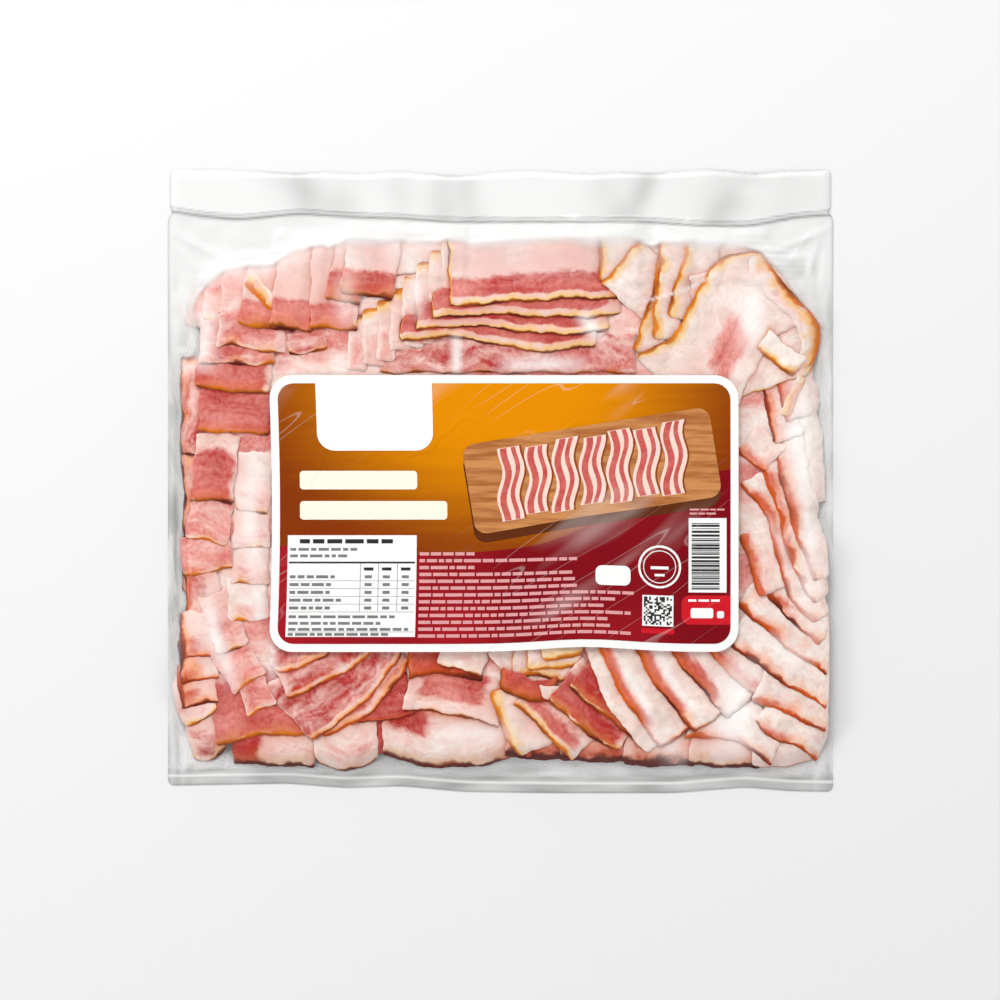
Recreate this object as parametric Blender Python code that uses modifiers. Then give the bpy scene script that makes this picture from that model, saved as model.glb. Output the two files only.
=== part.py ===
"""A flat, sealed clear bag of sliced bacon with a stuck-on label, lying with its label up.

Metres, +Z up. X runs across the bag and Y towards its wide header seal. The origin is
the centre of the underside. The bag and its contents are one solid, whose top shows
each rasher as a low step under the film, and the label is a thin solid stuck on it.
"""

import math
from collections import namedtuple

import bmesh
import bpy
import numpy as np

MM = 0.001

# Bag
BAG_WIDTH = 266 * MM
BAG_LENGTH = 250 * MM
HEADER_SEAL = 18 * MM  # height of the wide seal along the far edge
FLANGE = 0.8 * MM  # the sealed edge, where both films lie on each other
CORNER = 2.5 * MM
TOP_WAVE = 0.7 * MM
BOTTOM_RISE = 2.0 * MM  # the near edge sits higher at the left corner than at the right
HEADER_WAVE = 0.6 * MM

# Contents
RASHER = 1.3 * MM
BED = 7.5 * MM  # the rashers below those that show
PRESS = 18 * MM  # the height that a deep stack, pressed down by the film, comes near
BED_SLOPE = 9 * MM
TUCK = 3.0 * MM  # how far a rasher's edge still lifts what lies over it
FILM = 0.2 * MM
FILM_REACH = 1.5 * MM
FILM_EASE = 1.2 * MM

# Label
LABEL_WIDTH = 186.8 * MM
LABEL_HEIGHT = 110 * MM
LABEL_CENTRE = (1.2 * MM, -13.0 * MM)
LABEL_CORNER = 9.5 * MM
LABEL_THICKNESS = 0.4 * MM
LABEL_GAP = 0.35 * MM
LABEL_CROWN = 10.2 * MM  # height of the film at the middle of the label
LABEL_FALL = 1.2 * MM  # how much lower it is at the label's corners
LABEL_EASE = 9 * MM

# Meshes
FIELD_STEP = 1 * MM
BAG_CELL = 1.9 * MM
LABEL_CELLS = (26, 16)
BAG_FACES = 9400

# A rasher's rind runs from (ax, ay) to (bx, by), bulges by bow and swings by sway, and
# the rasher reaches width to the left of it. Millimetres from the bag's centre.
Rasher = namedtuple("Rasher", "ax ay bx by bow sway width")

# Fans of rashers from the lowest up: how many, the first and the last. Those between
# are evenly spaced, and a fan of one has no last.
FANS = [
    # Left border
    (3, (-128, 50, -128, 4, 0, 0, 14), (-127, -28, -126, -92, 1, 0, 14)),
    # Near edge, lowest layer
    (1, (-123, -110.5, -109, -107, -3, 0, 17)),
    (1, (-107, -113.5, -74, -115, 0.5, 0, 20)),
    (1, (-62, -110, -36, -109, 0, 0, 22)),
    (1, (-74, -112, -49, -112, -3.5, 0, 22)),
    (1, (-47, -109.5, 6, -110, -5, 0, 24)),
    (1, (2, -110.5, 30, -112, 0, 0, 20)),
    (2, (24, -112, 53, -112.5, 0, 0, 24), (49, -113.5, 78, -114, -0.3, 0, 23)),
    (1, (75, -113, 104, -115, -0.5, 0, 22)),
    (1, (101, -114.5, 125, -111.5, -1, 0, 20)),
    # Near left corner
    (1, (-113, -106, -74, -102, 2.5, 0, 30)),
    (1, (-126, -98.5, -112, -91, -0.5, 0, 20)),
    (1, (-57, -97, -34, -93, 0, 0, 18)),
    # Marbled rashers across the near left corner of the label
    (2, (-70, -102, -36, -71, -5, 0, 28), (-75, -103, -39, -68.5, -3.5, 0, 29)),
    (2, (-84, -86.5, -50, -68, -1.5, 0, 18), (-89, -76, -68, -69, -1.5, 0, 12)),
    # Near middle
    (1, (-39, -91.5, -1, -98.5, 2, 0, 18)),
    (1, (-37, -79, -7, -80.5, 2.5, 0, 12)),
    (1, (-26, -73, -8, -79, 1, 0, 12)),
    (1, (-6, -69, 3, -79, 0, 0, 14)),
    (1, (-4, -84, 8, -110, -2, 0, 24)),
    (1, (5, -89, 28, -112, 1, 0, 17)),
    (3, (5, -80, 32, -79, 1, 1, 12), (17, -72, 33, -69, 0, 0, 8)),
    (1, (-1, -82.5, 21, -87, -2.5, 0, 9)),
    (1, (17, -87.5, 29, -85, -1, 0, 6)),
    # Slanted rashers along the near edge
    (2, (19, -87, 46, -108, -1.3, 0, 22), (27, -82, 55, -104, -0.5, 0, 22)),
    (1, (73, -103, 108, -114, 5, 0, 18)),
    (1, (34, -66, 58, -108, -4, 0, 22)),
    (4, (39, -66, 64, -106, -2.5, 0, 26), (80, -66, 104, -89, 0, 0, 26)),
    (2, (101, -96, 126, -112, -0.5, -1, 20), (100, -87.5, 130, -100.5, 0.5, 0, 20)),
    (2, (90, -64, 131, -91, -1.5, 0, 24), (94, -49, 131, -78, -1.5, 0, 22)),
    (1, (105, -46, 126, -66, 0.3, 0, 12)),
    # Right column
    (1, (95, -22, 103, -46, 0, 0, 14)),
    (1, (110, 46, 117, -10, 0, 0, 15)),
    (3, (95, -1, 124, -57, 0, 3, 12), (109, 16, 125, -40, -2.5, 0, 12)),
    (1, (94, 12, 105, 3, 0, 0, 14)),
    (2, (102, 42, 108, 15, 1, 0, 12), (104, 50, 113, 23, 2, 0, 12)),
    # Far edge, middle
    (2, (-62, 82, -16, 82, 0, 0, 17), (50, 80.5, 104, 80.5, 0, 0, 17)),
    (1, (-48, 43, 54, 43, 0, 0, 16)),
    (3, (-61, 66, -61, 44, 0, 0, 8), (-49, 72, -49, 48, 0, 0, 8)),
    (5, (-44, 77, -44, 52, 0, 0, 8), (-23, 97, -24, 58, 0, 0, 8)),
    (3, (-40, 55, 38, 54, -0.5, 2.5, 10), (-27, 64, 48, 66, 0.5, 1, 11)),
    (1, (-20, 69, 54, 72.5, 1, 0, 29)),
    # Left column
    (3, (-127, -91, -112, -88, 0, 0, 18), (-127, -71, -112, -69, 0, 0, 18)),
    (2, (-100, -94, -89, -89.5, 0.8, 0, 14), (-106, -85, -93, -77, 0.5, 0, 20)),
    (1, (-113, -69, -100, -64.5, -0.5, 0, 24)),
    (4, (-108, -56, -92, -55, 0, 0, 18), (-106, -12, -92, -13, 0, 0, 24)),
    (2, (-127, -38, -106, -35, 0, 0, 16), (-126, -23, -109, -26, 0.5, 0, 18)),
    (1, (-124, -8, -107, -10, 1, 0, 28)),
    (2, (-120.5, 20, -92, 18.5, -0.3, 0, 18), (-122, 37, -92, 34, 0, 0, 20)),
    # Far left corner
    (3, (-126, 62, -104, 60, 0, 0, 17), (-112, 66, -95, 64, 0, 0, 24)),
    (2, (-120, 46.5, -90, 46, 0, 0, 18), (-113, 52.5, -86, 50.5, 1.2, 1, 14)),
    (1, (-84, 50.5, -69, 52.5, -1, 0, 9)),
    (1, (-104.5, 62.5, -82, 59, -0.3, 0, 27)),
    (1, (-103, 78, -91, 66, 1, 0, 6)),
    (2, (-92, 61.5, -75, 59.5, 0, 0, 36), (-76, 60.5, -57, 60, 0, 0, 36)),
    (2, (-70, 72.5, -56, 69.5, 0, 0, 26), (-64, 75.5, -43, 72, -0.5, 0, 25)),
    # Far right corner
    (1, (38.5, 99, 39.5, 79, 0, 0, 16)),
    (1, (56, 96.5, 40, 79, 0, 0, 24)),
    (1, (64, 99, 52, 52, 2, 0, 12)),
    (2, (64, 98, 60, 57, 0, 0, 12), (76, 101, 66, 66, 0, 0, 14)),
    (1, (124, 43, 107, 92, -5, -4, 34)),
    (1, (106, 92, 54, 50, -4, -5.5, 38)),
    (1, (125, 47, 107, 92, -5, -4, 9)),
    (1, (101, 52.5, 116, 41, 0.5, 0, 9)),
    (1, (115, 25, 122, 41, 0, 0, 4)),
]

# The bed: the rectangle, left, near, right and far, that hidden rashers fill
BED_AREA = (-118, -102, 118, 88)

COLOURS = {
    "bag": ((0.86, 0.62, 0.58, 1), 0.25),
    "label": ((0.62, 0.16, 0.10, 1), 0.3),
}


def clear_scene():
    for thing in list(bpy.data.objects):
        bpy.data.objects.remove(thing, do_unlink=True)


def material(name):
    colour, roughness = COLOURS[name]
    made = bpy.data.materials.new(name)
    made.use_nodes = True
    shader = made.node_tree.nodes["Principled BSDF"]
    shader.inputs["Base Color"].default_value = colour
    shader.inputs["Roughness"].default_value = roughness
    return made


def smoothstep(low, high, value):
    t = np.clip((value - low) / (high - low), 0, 1)
    return t * t * (3 - 2 * t)


def fanned(count, first, last=None):
    """The rashers of a fan, in order."""
    start = np.array(first, float)
    end = np.array(last if last else first, float)
    for i in range(count):
        share = i / (count - 1) if count > 1 else 0
        yield Rasher(*(start + (end - start) * share))


def outside(rasher, x, y):
    """How far each point lies outside the rasher, in metres, 0 within it."""
    ax, ay, bx, by, bow, sway, width = (value * MM for value in rasher)
    length = math.hypot(bx - ax, by - ay)
    ex = (bx - ax) / length
    ey = (by - ay) / length
    along = (x - ax) * ex + (y - ay) * ey
    share = np.clip(along / length, 0, 1)
    rind = bow * 4 * share * (1 - share) + sway * np.sin(2 * math.pi * share)
    depth = (y - ay) * ex - (x - ax) * ey - rind
    return np.maximum.reduce([-depth, depth - width, -along, along - length, np.zeros_like(x)])


def blurred(field, radius):
    """The field smoothed by a bell curve of this radius."""
    reach = int(math.ceil(3 * radius / FIELD_STEP))
    steps = np.arange(-reach, reach + 1) * FIELD_STEP
    bell = np.exp(-0.5 * (steps / radius) ** 2)
    bell /= bell.sum()
    padded = np.pad(field, reach, mode="edge")
    padded = np.apply_along_axis(np.convolve, 0, padded, bell, "valid")
    return np.apply_along_axis(np.convolve, 1, padded, bell, "valid")


def widened(field, radius):
    """The highest value of the field within this radius of each point."""
    reach = int(round(radius / FIELD_STEP))
    rows, columns = field.shape
    padded = np.pad(field, reach, mode="edge")
    highest = field.copy()
    for i in range(-reach, reach + 1):
        for j in range(-reach, reach + 1):
            if i * i + j * j <= reach * reach:
                moved = padded[reach + i : reach + i + rows, reach + j : reach + j + columns]
                highest = np.maximum(highest, moved)
    return highest


def label_outside(x, y):
    """How far each point lies outside the label's rounded rectangle."""
    dx = np.abs(x - LABEL_CENTRE[0]) - (LABEL_WIDTH / 2 - LABEL_CORNER)
    dy = np.abs(y - LABEL_CENTRE[1]) - (LABEL_HEIGHT / 2 - LABEL_CORNER)
    corner = np.hypot(np.maximum(dx, 0), np.maximum(dy, 0)) - LABEL_CORNER
    return np.maximum(corner + np.minimum(np.maximum(dx, dy), 0), 0)


def label_ground(x, y):
    """Height of the film under the label: a low crown with a slow swell."""
    u = (x - LABEL_CENTRE[0]) / (LABEL_WIDTH / 2)
    v = (y - LABEL_CENTRE[1]) / (LABEL_HEIGHT / 2)
    fall = LABEL_FALL * (u**4 + v**4) / 2
    swell = 0.25 * MM * np.sin(3.1 * u + 0.4) * np.cos(2.3 * v)
    return LABEL_CROWN - fall + swell


class Surface:
    """The top of the bag as a field of heights on a regular grid."""

    def __init__(self):
        self.x = np.arange(-BAG_WIDTH / 2, BAG_WIDTH / 2 + FIELD_STEP, FIELD_STEP)
        self.y = np.arange(-BAG_LENGTH / 2, BAG_LENGTH / 2 + FIELD_STEP, FIELD_STEP)
        x, y = np.meshgrid(self.x, self.y)
        pile = self.pile(x, y)
        film = blurred(widened(pile, FILM_REACH), FILM_EASE)
        film += FLANGE + FILM * smoothstep(0, 1 * MM, pile)
        under = 1 - smoothstep(0, LABEL_EASE, label_outside(x, y))
        film += (label_ground(x, y) - film) * under
        self.heights = film + self.header(x, y)

    def pile(self, x, y):
        """Height of the rashers alone, stacked on their bed and pressed together."""
        stack = np.zeros_like(x)
        covered = np.zeros_like(x)
        for fan in FANS:
            for rasher in fanned(*fan):
                gap = outside(rasher, x, y)
                stack += RASHER * (1 - smoothstep(0, TUCK, gap))
                covered = np.maximum(covered, gap <= 0)
        left, near, right, far = (value * MM for value in BED_AREA)
        inner = (x > left) & (x < right) & (y > near) & (y < far)
        covered = np.maximum(covered, inner)
        bed = BED * smoothstep(0.45, 1.0, blurred(covered.astype(float), BED_SLOPE / 2))
        return PRESS * (1 - np.exp(-(bed + stack) / PRESS))

    def header(self, x, y):
        """The soft waves of the wide seal."""
        band = smoothstep(BAG_LENGTH / 2 - HEADER_SEAL - 2 * MM, BAG_LENGTH / 2 - HEADER_SEAL, y)
        wave = np.sin(x / (9.5 * MM)) + 0.6 * np.sin(x / (5.3 * MM) + 1.1)
        return HEADER_WAVE * band * (1 + 0.5 * wave)

    def at(self, x, y):
        """Height at one point, between the grid's own."""
        i = np.clip((y - self.y[0]) / FIELD_STEP, 0, len(self.y) - 1.001)
        j = np.clip((x - self.x[0]) / FIELD_STEP, 0, len(self.x) - 1.001)
        row = int(i)
        column = int(j)
        p = i - row
        q = j - column
        near = self.heights[row, column] * (1 - q) + self.heights[row, column + 1] * q
        far = self.heights[row + 1, column] * (1 - q) + self.heights[row + 1, column + 1] * q
        return near * (1 - p) + far * p


def bag_outline(s, t):
    """Where the point at shares s across and t up the bag lies in plan."""
    x = (s - 0.5) * BAG_WIDTH
    swell = TOP_WAVE * (math.sin(x / (7.4 * MM) + 0.8) + 0.5 * math.sin(x / (4.1 * MM)))
    far = BAG_LENGTH / 2 - 1.2 * MM + swell
    ripple = 0.5 * MM * math.sin(x / (11 * MM) + 0.5)
    near = -BAG_LENGTH / 2 + 0.6 * MM + BOTTOM_RISE * (1 - smoothstep(0, 0.6, s)) + ripple
    y = near + t * (far - near)
    header = BAG_LENGTH / 2 - HEADER_SEAL
    neck = 1.2 * MM * math.exp(-(((y - header) / (1.6 * MM)) ** 2))
    half = BAG_WIDTH / 2 - 0.8 * MM * smoothstep(header - 1 * MM, header + 1 * MM, y) - neck
    x = (2 * s - 1) * half
    corner_x = max(abs(x) - (half - CORNER), 0) / CORNER
    corner_y = max(CORNER - (y - near), CORNER - (far - y), 0) / CORNER
    x -= math.copysign(CORNER * corner_x * (1 - math.sqrt(1 - corner_y**2 / 2)), x)
    y -= math.copysign(CORNER * corner_y * (1 - math.sqrt(1 - corner_x**2 / 2)), y)
    return x, y


def label_outline(s, t):
    """Where the point at shares s across and t up the label lies in plan."""
    x = (s - 0.5) * LABEL_WIDTH
    y = (t - 0.5) * LABEL_HEIGHT
    corner_x = max(abs(x) - (LABEL_WIDTH / 2 - LABEL_CORNER), 0) / LABEL_CORNER
    corner_y = max(abs(y) - (LABEL_HEIGHT / 2 - LABEL_CORNER), 0) / LABEL_CORNER
    x -= math.copysign(LABEL_CORNER * corner_x * (1 - math.sqrt(1 - corner_y**2 / 2)), x)
    y -= math.copysign(LABEL_CORNER * corner_y * (1 - math.sqrt(1 - corner_x**2 / 2)), y)
    return x + LABEL_CENTRE[0], y + LABEL_CENTRE[1]


def sheet_mesh(columns, rows, outline, height):
    """An open sheet of cells laid out by outline and lifted by height."""
    sheet = bmesh.new()
    bmesh.ops.create_grid(sheet, x_segments=columns, y_segments=rows, size=0.5)
    for vertex in sheet.verts:
        x, y = outline(vertex.co.x + 0.5, vertex.co.y + 0.5)
        vertex.co = (x, y, height(x, y))
    return sheet


def place(name, mesh, collection):
    made = bpy.data.objects.new(name, mesh)
    mesh.materials.append(material(name))
    collection.objects.link(made)
    return made


def thinned(sheet, faces):
    """The sheet's triangles collapsed to about this many, keeping its steps."""
    bmesh.ops.triangulate(sheet, faces=sheet.faces)
    mesh = bpy.data.meshes.new("sheet")
    sheet.to_mesh(mesh)
    sheet.free()
    carrier = bpy.data.objects.new("sheet", mesh)
    bpy.context.scene.collection.objects.link(carrier)
    collapse = carrier.modifiers.new("collapse", "DECIMATE")
    collapse.ratio = faces / len(mesh.polygons)
    evaluated = carrier.evaluated_get(bpy.context.evaluated_depsgraph_get())
    result = bmesh.new()
    result.from_mesh(bpy.data.meshes.new_from_object(evaluated))
    bpy.data.objects.remove(carrier, do_unlink=True)
    return result


def closed_below(sheet):
    """The sheet with walls from its rim down to a flat face at z = 0."""
    rim = [edge for edge in sheet.edges if edge.is_boundary]
    walls = bmesh.ops.extrude_edge_only(sheet, edges=rim)["geom"]
    for vertex in walls:
        if isinstance(vertex, bmesh.types.BMVert):
            vertex.co.z = 0
    rim = [edge for edge in sheet.edges if edge.is_boundary]
    bmesh.ops.contextual_create(sheet, geom=rim)
    bmesh.ops.recalc_face_normals(sheet, faces=sheet.faces)
    return sheet


def build_bag(surface, collection):
    columns = round(BAG_WIDTH / BAG_CELL)
    rows = round(BAG_LENGTH / BAG_CELL)
    top = sheet_mesh(columns, rows, bag_outline, surface.at)
    solid = closed_below(thinned(top, BAG_FACES))
    mesh = bpy.data.meshes.new("bag")
    solid.to_mesh(mesh)
    solid.free()
    mesh.shade_smooth()
    return place("bag", mesh, collection)


def build_label(collection):
    def underside(x, y):
        return float(label_ground(x, y)) + LABEL_GAP

    sheet = sheet_mesh(*LABEL_CELLS, label_outline, underside)
    mesh = bpy.data.meshes.new("label")
    sheet.to_mesh(mesh)
    sheet.free()
    made = place("label", mesh, collection)
    thickness = made.modifiers.new("thickness", "SOLIDIFY")
    thickness.thickness = LABEL_THICKNESS
    thickness.offset = 1
    return made


def main():
    clear_scene()
    collection = bpy.data.collections.new("bacon_pack")
    bpy.context.scene.collection.children.link(collection)
    build_bag(Surface(), collection)
    build_label(collection)


main()
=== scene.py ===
"""The looks of the sealed pack of sliced bacon: rashers under clear film, and the label."""

import math
import random
from collections import namedtuple

import bmesh
import bpy
import numpy as np
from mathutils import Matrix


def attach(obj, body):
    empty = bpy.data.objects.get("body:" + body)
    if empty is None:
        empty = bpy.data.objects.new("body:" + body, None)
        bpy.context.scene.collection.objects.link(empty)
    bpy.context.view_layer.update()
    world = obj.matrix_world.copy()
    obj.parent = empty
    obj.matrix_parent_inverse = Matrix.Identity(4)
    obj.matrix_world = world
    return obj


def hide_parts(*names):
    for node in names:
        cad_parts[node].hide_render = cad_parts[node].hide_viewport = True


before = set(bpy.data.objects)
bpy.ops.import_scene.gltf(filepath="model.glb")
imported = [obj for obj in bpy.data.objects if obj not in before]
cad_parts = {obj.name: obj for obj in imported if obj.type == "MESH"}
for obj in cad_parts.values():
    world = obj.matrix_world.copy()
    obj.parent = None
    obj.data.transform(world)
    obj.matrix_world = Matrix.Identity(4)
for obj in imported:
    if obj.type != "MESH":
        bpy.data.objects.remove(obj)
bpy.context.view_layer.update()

MM = 0.001

# Bag, as in the part's own frame
BAG_WIDTH = 266 * MM
BAG_LENGTH = 250 * MM
HEADER_SEAL = 18 * MM
CORNER = 2.5 * MM

# Contents
RASHER = 1.3 * MM
BED = 7.5 * MM
PRESS = 18 * MM
BED_SLOPE = 9 * MM
BED_AREA = (-118, -102, 118, 88)
TUCK = 3.0 * MM
BACK_FILM = 0.3 * MM
SIDE_ROUND = 5 * MM  # how far in from its sides the pack thins
SQUEEZE_FROM = 127.5 * MM  # past here a rasher is pushed together,
SQUEEZE_TO = 131.3 * MM  # so that it never gets here

# Label
LABEL_WIDTH = 186.8 * MM
LABEL_HEIGHT = 110 * MM
LABEL_CENTRE = (1.2 * MM, -13.0 * MM)
LABEL_CORNER = 9.5 * MM
LABEL_THICKNESS = 0.4 * MM
LABEL_GAP = 0.35 * MM
LABEL_CROWN = 10.2 * MM
LABEL_FALL = 1.2 * MM
LABEL_EASE = 9 * MM
PRINT_STEP = 0.05 * MM

FIELD_STEP = 1 * MM

# A rasher's rind runs from (ax, ay) to (bx, by), bulges by bow and swings by sway, and
# the rasher reaches width to the left of it. Millimetres from the bag's centre.
Rasher = namedtuple("Rasher", "ax ay bx by bow sway width")

# How a rasher is coloured. The patch of lean runs from one share of its length to
# another and from one depth in mm to another, and is lean by level where the rest is
# lean by base. Then how red the lean and how pink the fat is, how wide the rind is along
# the side, at the near end and at the far end, in mm, how dark and how patchy it is,
# how reddish, how far its colour spreads into the fat, how thick the rasher looks, and
# how deep the shade is that falls on it.
Look = namedtuple(
    "Look",
    "patch level base red blush rind tip tail dark gaps warm glow thick shade",
    defaults=[1.0, 0, 0, 0.4, 0, 0.3, 0.4, 1.0, 0.3],
)
LOOKS = {
    "border": Look((0.1, 1, 0, 9), 0.5, 0.2, 0.7, 0.7, 1.3, 2.4, 0, 0.75, 0.2, 0.9, 0.9, 0.6, 0.5),
    "flank": Look((0, 0.6, 0, 9), 0.5, 0.12, 0.6, 0.8, 1.2, 3.0, 0, 0.45, 0.1, 0.9, 0.9, 0.6, 0.4),
    "corner": Look((0.1, 0.8, 2, 14), 0.42, 0.15, 0.4, 0.7, 1.5, 0, 0, 0.25, 0.3, 0.1, 0.8, 0.8),
    "dark": Look((0, 0.35, 0, 18), 0.9, 0.15, 0.9, 0.6, 2.4, 0, 0, 1.2, 0, 0.3, 0.4, 1, 0.7),
    "under": Look((0, 1, 0, 22), 0.85, 0.85, 0.95, 0.7, 0.4, 0, 0, 0.9, 0, 1, 0.4, 1, 0.8),
    "grey": Look((0.2, 0.9, 4, 12), 0.3, 0.1, 0.3, 0.5, 1.0, 0, 0, 0.9, 0.2, 0.3, 0.4, 1, 0.6),
    "near": Look((0.06, 0.35, 12, 22), 0.75, 0.06, 0.7, 0.75, 2.3, 0, 0, 1.2, 0, 0.4, 0.5, 1, 1.2),
    "maroon": Look((0.1, 0.9, 1, 6), 0.65, 0.1, 0.9, 0.5, 3.6, 0, 0, 3.0, 0, 1, 0.6, 1, 0.9),
    "marbled": Look((0.03, 0.97, 2, 26), 0.54, 0.15, 0.94, 0.7, 1.1, 0, 0, 0.0, 0, 0.75, 1.0, 1, 0.6),
    "mixed": Look((0, 1, 0, 16), 0.46, 0.2, 0.8, 0.6, 1.0, 0, 0, 0.4, 0.4),
    "pink": Look((0.02, 0.95, 1, 24), 0.6, 0.25, 0.3, 0.8, 1.3, 0, 0, 0.35, 0.3, 0.4, 0.6, 0.7),
    "rose": Look((0.02, 0.98, 1, 26), 0.85, 0.3, 0.6, 0.8, 1.6, 0, 0, 0.35, 0, 0.3, 0.8, 1, 0.8),
    "blush": Look((0.02, 0.95, 1, 24), 0.36, 0.1, 0.15, 0.8, 1.1, 0, 0, 0.2, 0.6, 0.2, 0.6, 0.5, 0.15),
    "patchy": Look((0.1, 1, 0, 9), 0.34, 0.0, 0.45, 0.7, 1.2, 0, 0, 0.25, 0.7, 0.2, 0.7, 0.5, 0.15),
    "red": Look((0.02, 0.98, 1.5, 14), 0.8, 0.2, 0.95, 0.7, 1.5, 0, 0, 0.5, 0, 0.35, 0.9, 1, 0.8),
    "streaky": Look((0.05, 0.95, 3, 10), 0.66, 0.06, 0.75, 0.5, 1.5, 0, 0, 0.3, 0, 0.25, 0.9, 1, 0.7),
    "middle": Look((0.1, 0.85, 6, 18), 0.75, 0.12, 0.5, 0.9, 1.0, 0, 0, 0.7, 0.2, 0.5, 0.4, 1, 0.7),
    "orange": Look((0, 1, 0, 12), 0.85, 0.4, 0.85, 0.6, 2.4, 0.8, 0.8, 0.5, 0, 0.8, 0.3, 1, 0.9),
    "ember": Look((0, 1, 0, 12), 0.8, 0.7, 0.75, 0.5, 2.2, 1.2, 1.2, 0.3, 0, 0.5, 0.5, 1, 0.8),
    "lens": Look((0, 1, 0, 3.5), 0.85, 0.05, 0.65, 0.2, 1.6, 0, 0, 0.25, 0, 0.8, 0.6),
    "white": Look((0, 1, 0, 1), 0.0, 0.0, 0.1, 0.15, 0.25, 0, 0, 0.1, 0, 0.8),
    "slanted": Look((0.05, 0.8, 0, 5.5), 0.84, 0.0, 0.66, 0.25, 1.5, 0, 0.9, 0.4, 0, 0.75, 0.6, 1, 0.5),
    "shell": Look((0.1, 0.6, 0, 3.5), 0.55, 0.0, 0.55, 0.05, 2.2, 0, 0, 0.2, 0.1, 0.85, 0.55, 0.8, 0.2),
    "rosy": Look((0, 1, 0, 6), 0.5, 0.03, 0.4, 0.6, 1.7, 0, 0, 0.3, 0.1, 1, 0.9, 0.7),
    "block": Look((0.01, 0.93, 0.5, 21), 0.88, 0.12, 0.74, 0.6, 1.4, 0, 0, 0.6, 0, 0.35, 0.45, 1, 0.5),
    "bacon": Look((0.01, 0.97, 0.5, 11), 0.84, 0.03, 0.4, 0.85, 2.0, 0, 0, 0.6, 0, 0.25, 0.7, 1, 0.5),
    "haze": Look((0, 1, 20, 24), 0.1, 0.1, 0.1, 0.5, 0.3, 0, 0, 0.3),
    "long": Look((0, 0.95, 3.4, 12), 0.85, 0.0, 0.68, 0.95, 1.0, 0.6, 0, 0.6, 0, 0, 1, 1, 0.9),
    "column": Look((0.4, 1, 1, 9), 0.34, 0.03, 0.2, 0.6, 0, 1.8, 0, 0.2, 0, 0, 0.9, 0.7),
    "gold": Look((0, 1, 0, 1), 0.0, 0.0, 0.4, 0.25, 1.7, 0.3, 0, 0.1, 0, 0.0, 0.9, 1, 0.6),
    "fold": Look((0, 1, 0, 6), 0.0, 0.0, 0.3, 0.2, 2.4, 0, 0, -0.3, 0, 0.35, 1, 0.25, 0),
    "sheet": Look((0.42, 0.7, 17, 31), 0.66, 0.0, 0.1, 0.45, 1.7, 0, 0, 0.1, 0, 0, 0.9, 1, 0.7),
}

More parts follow.
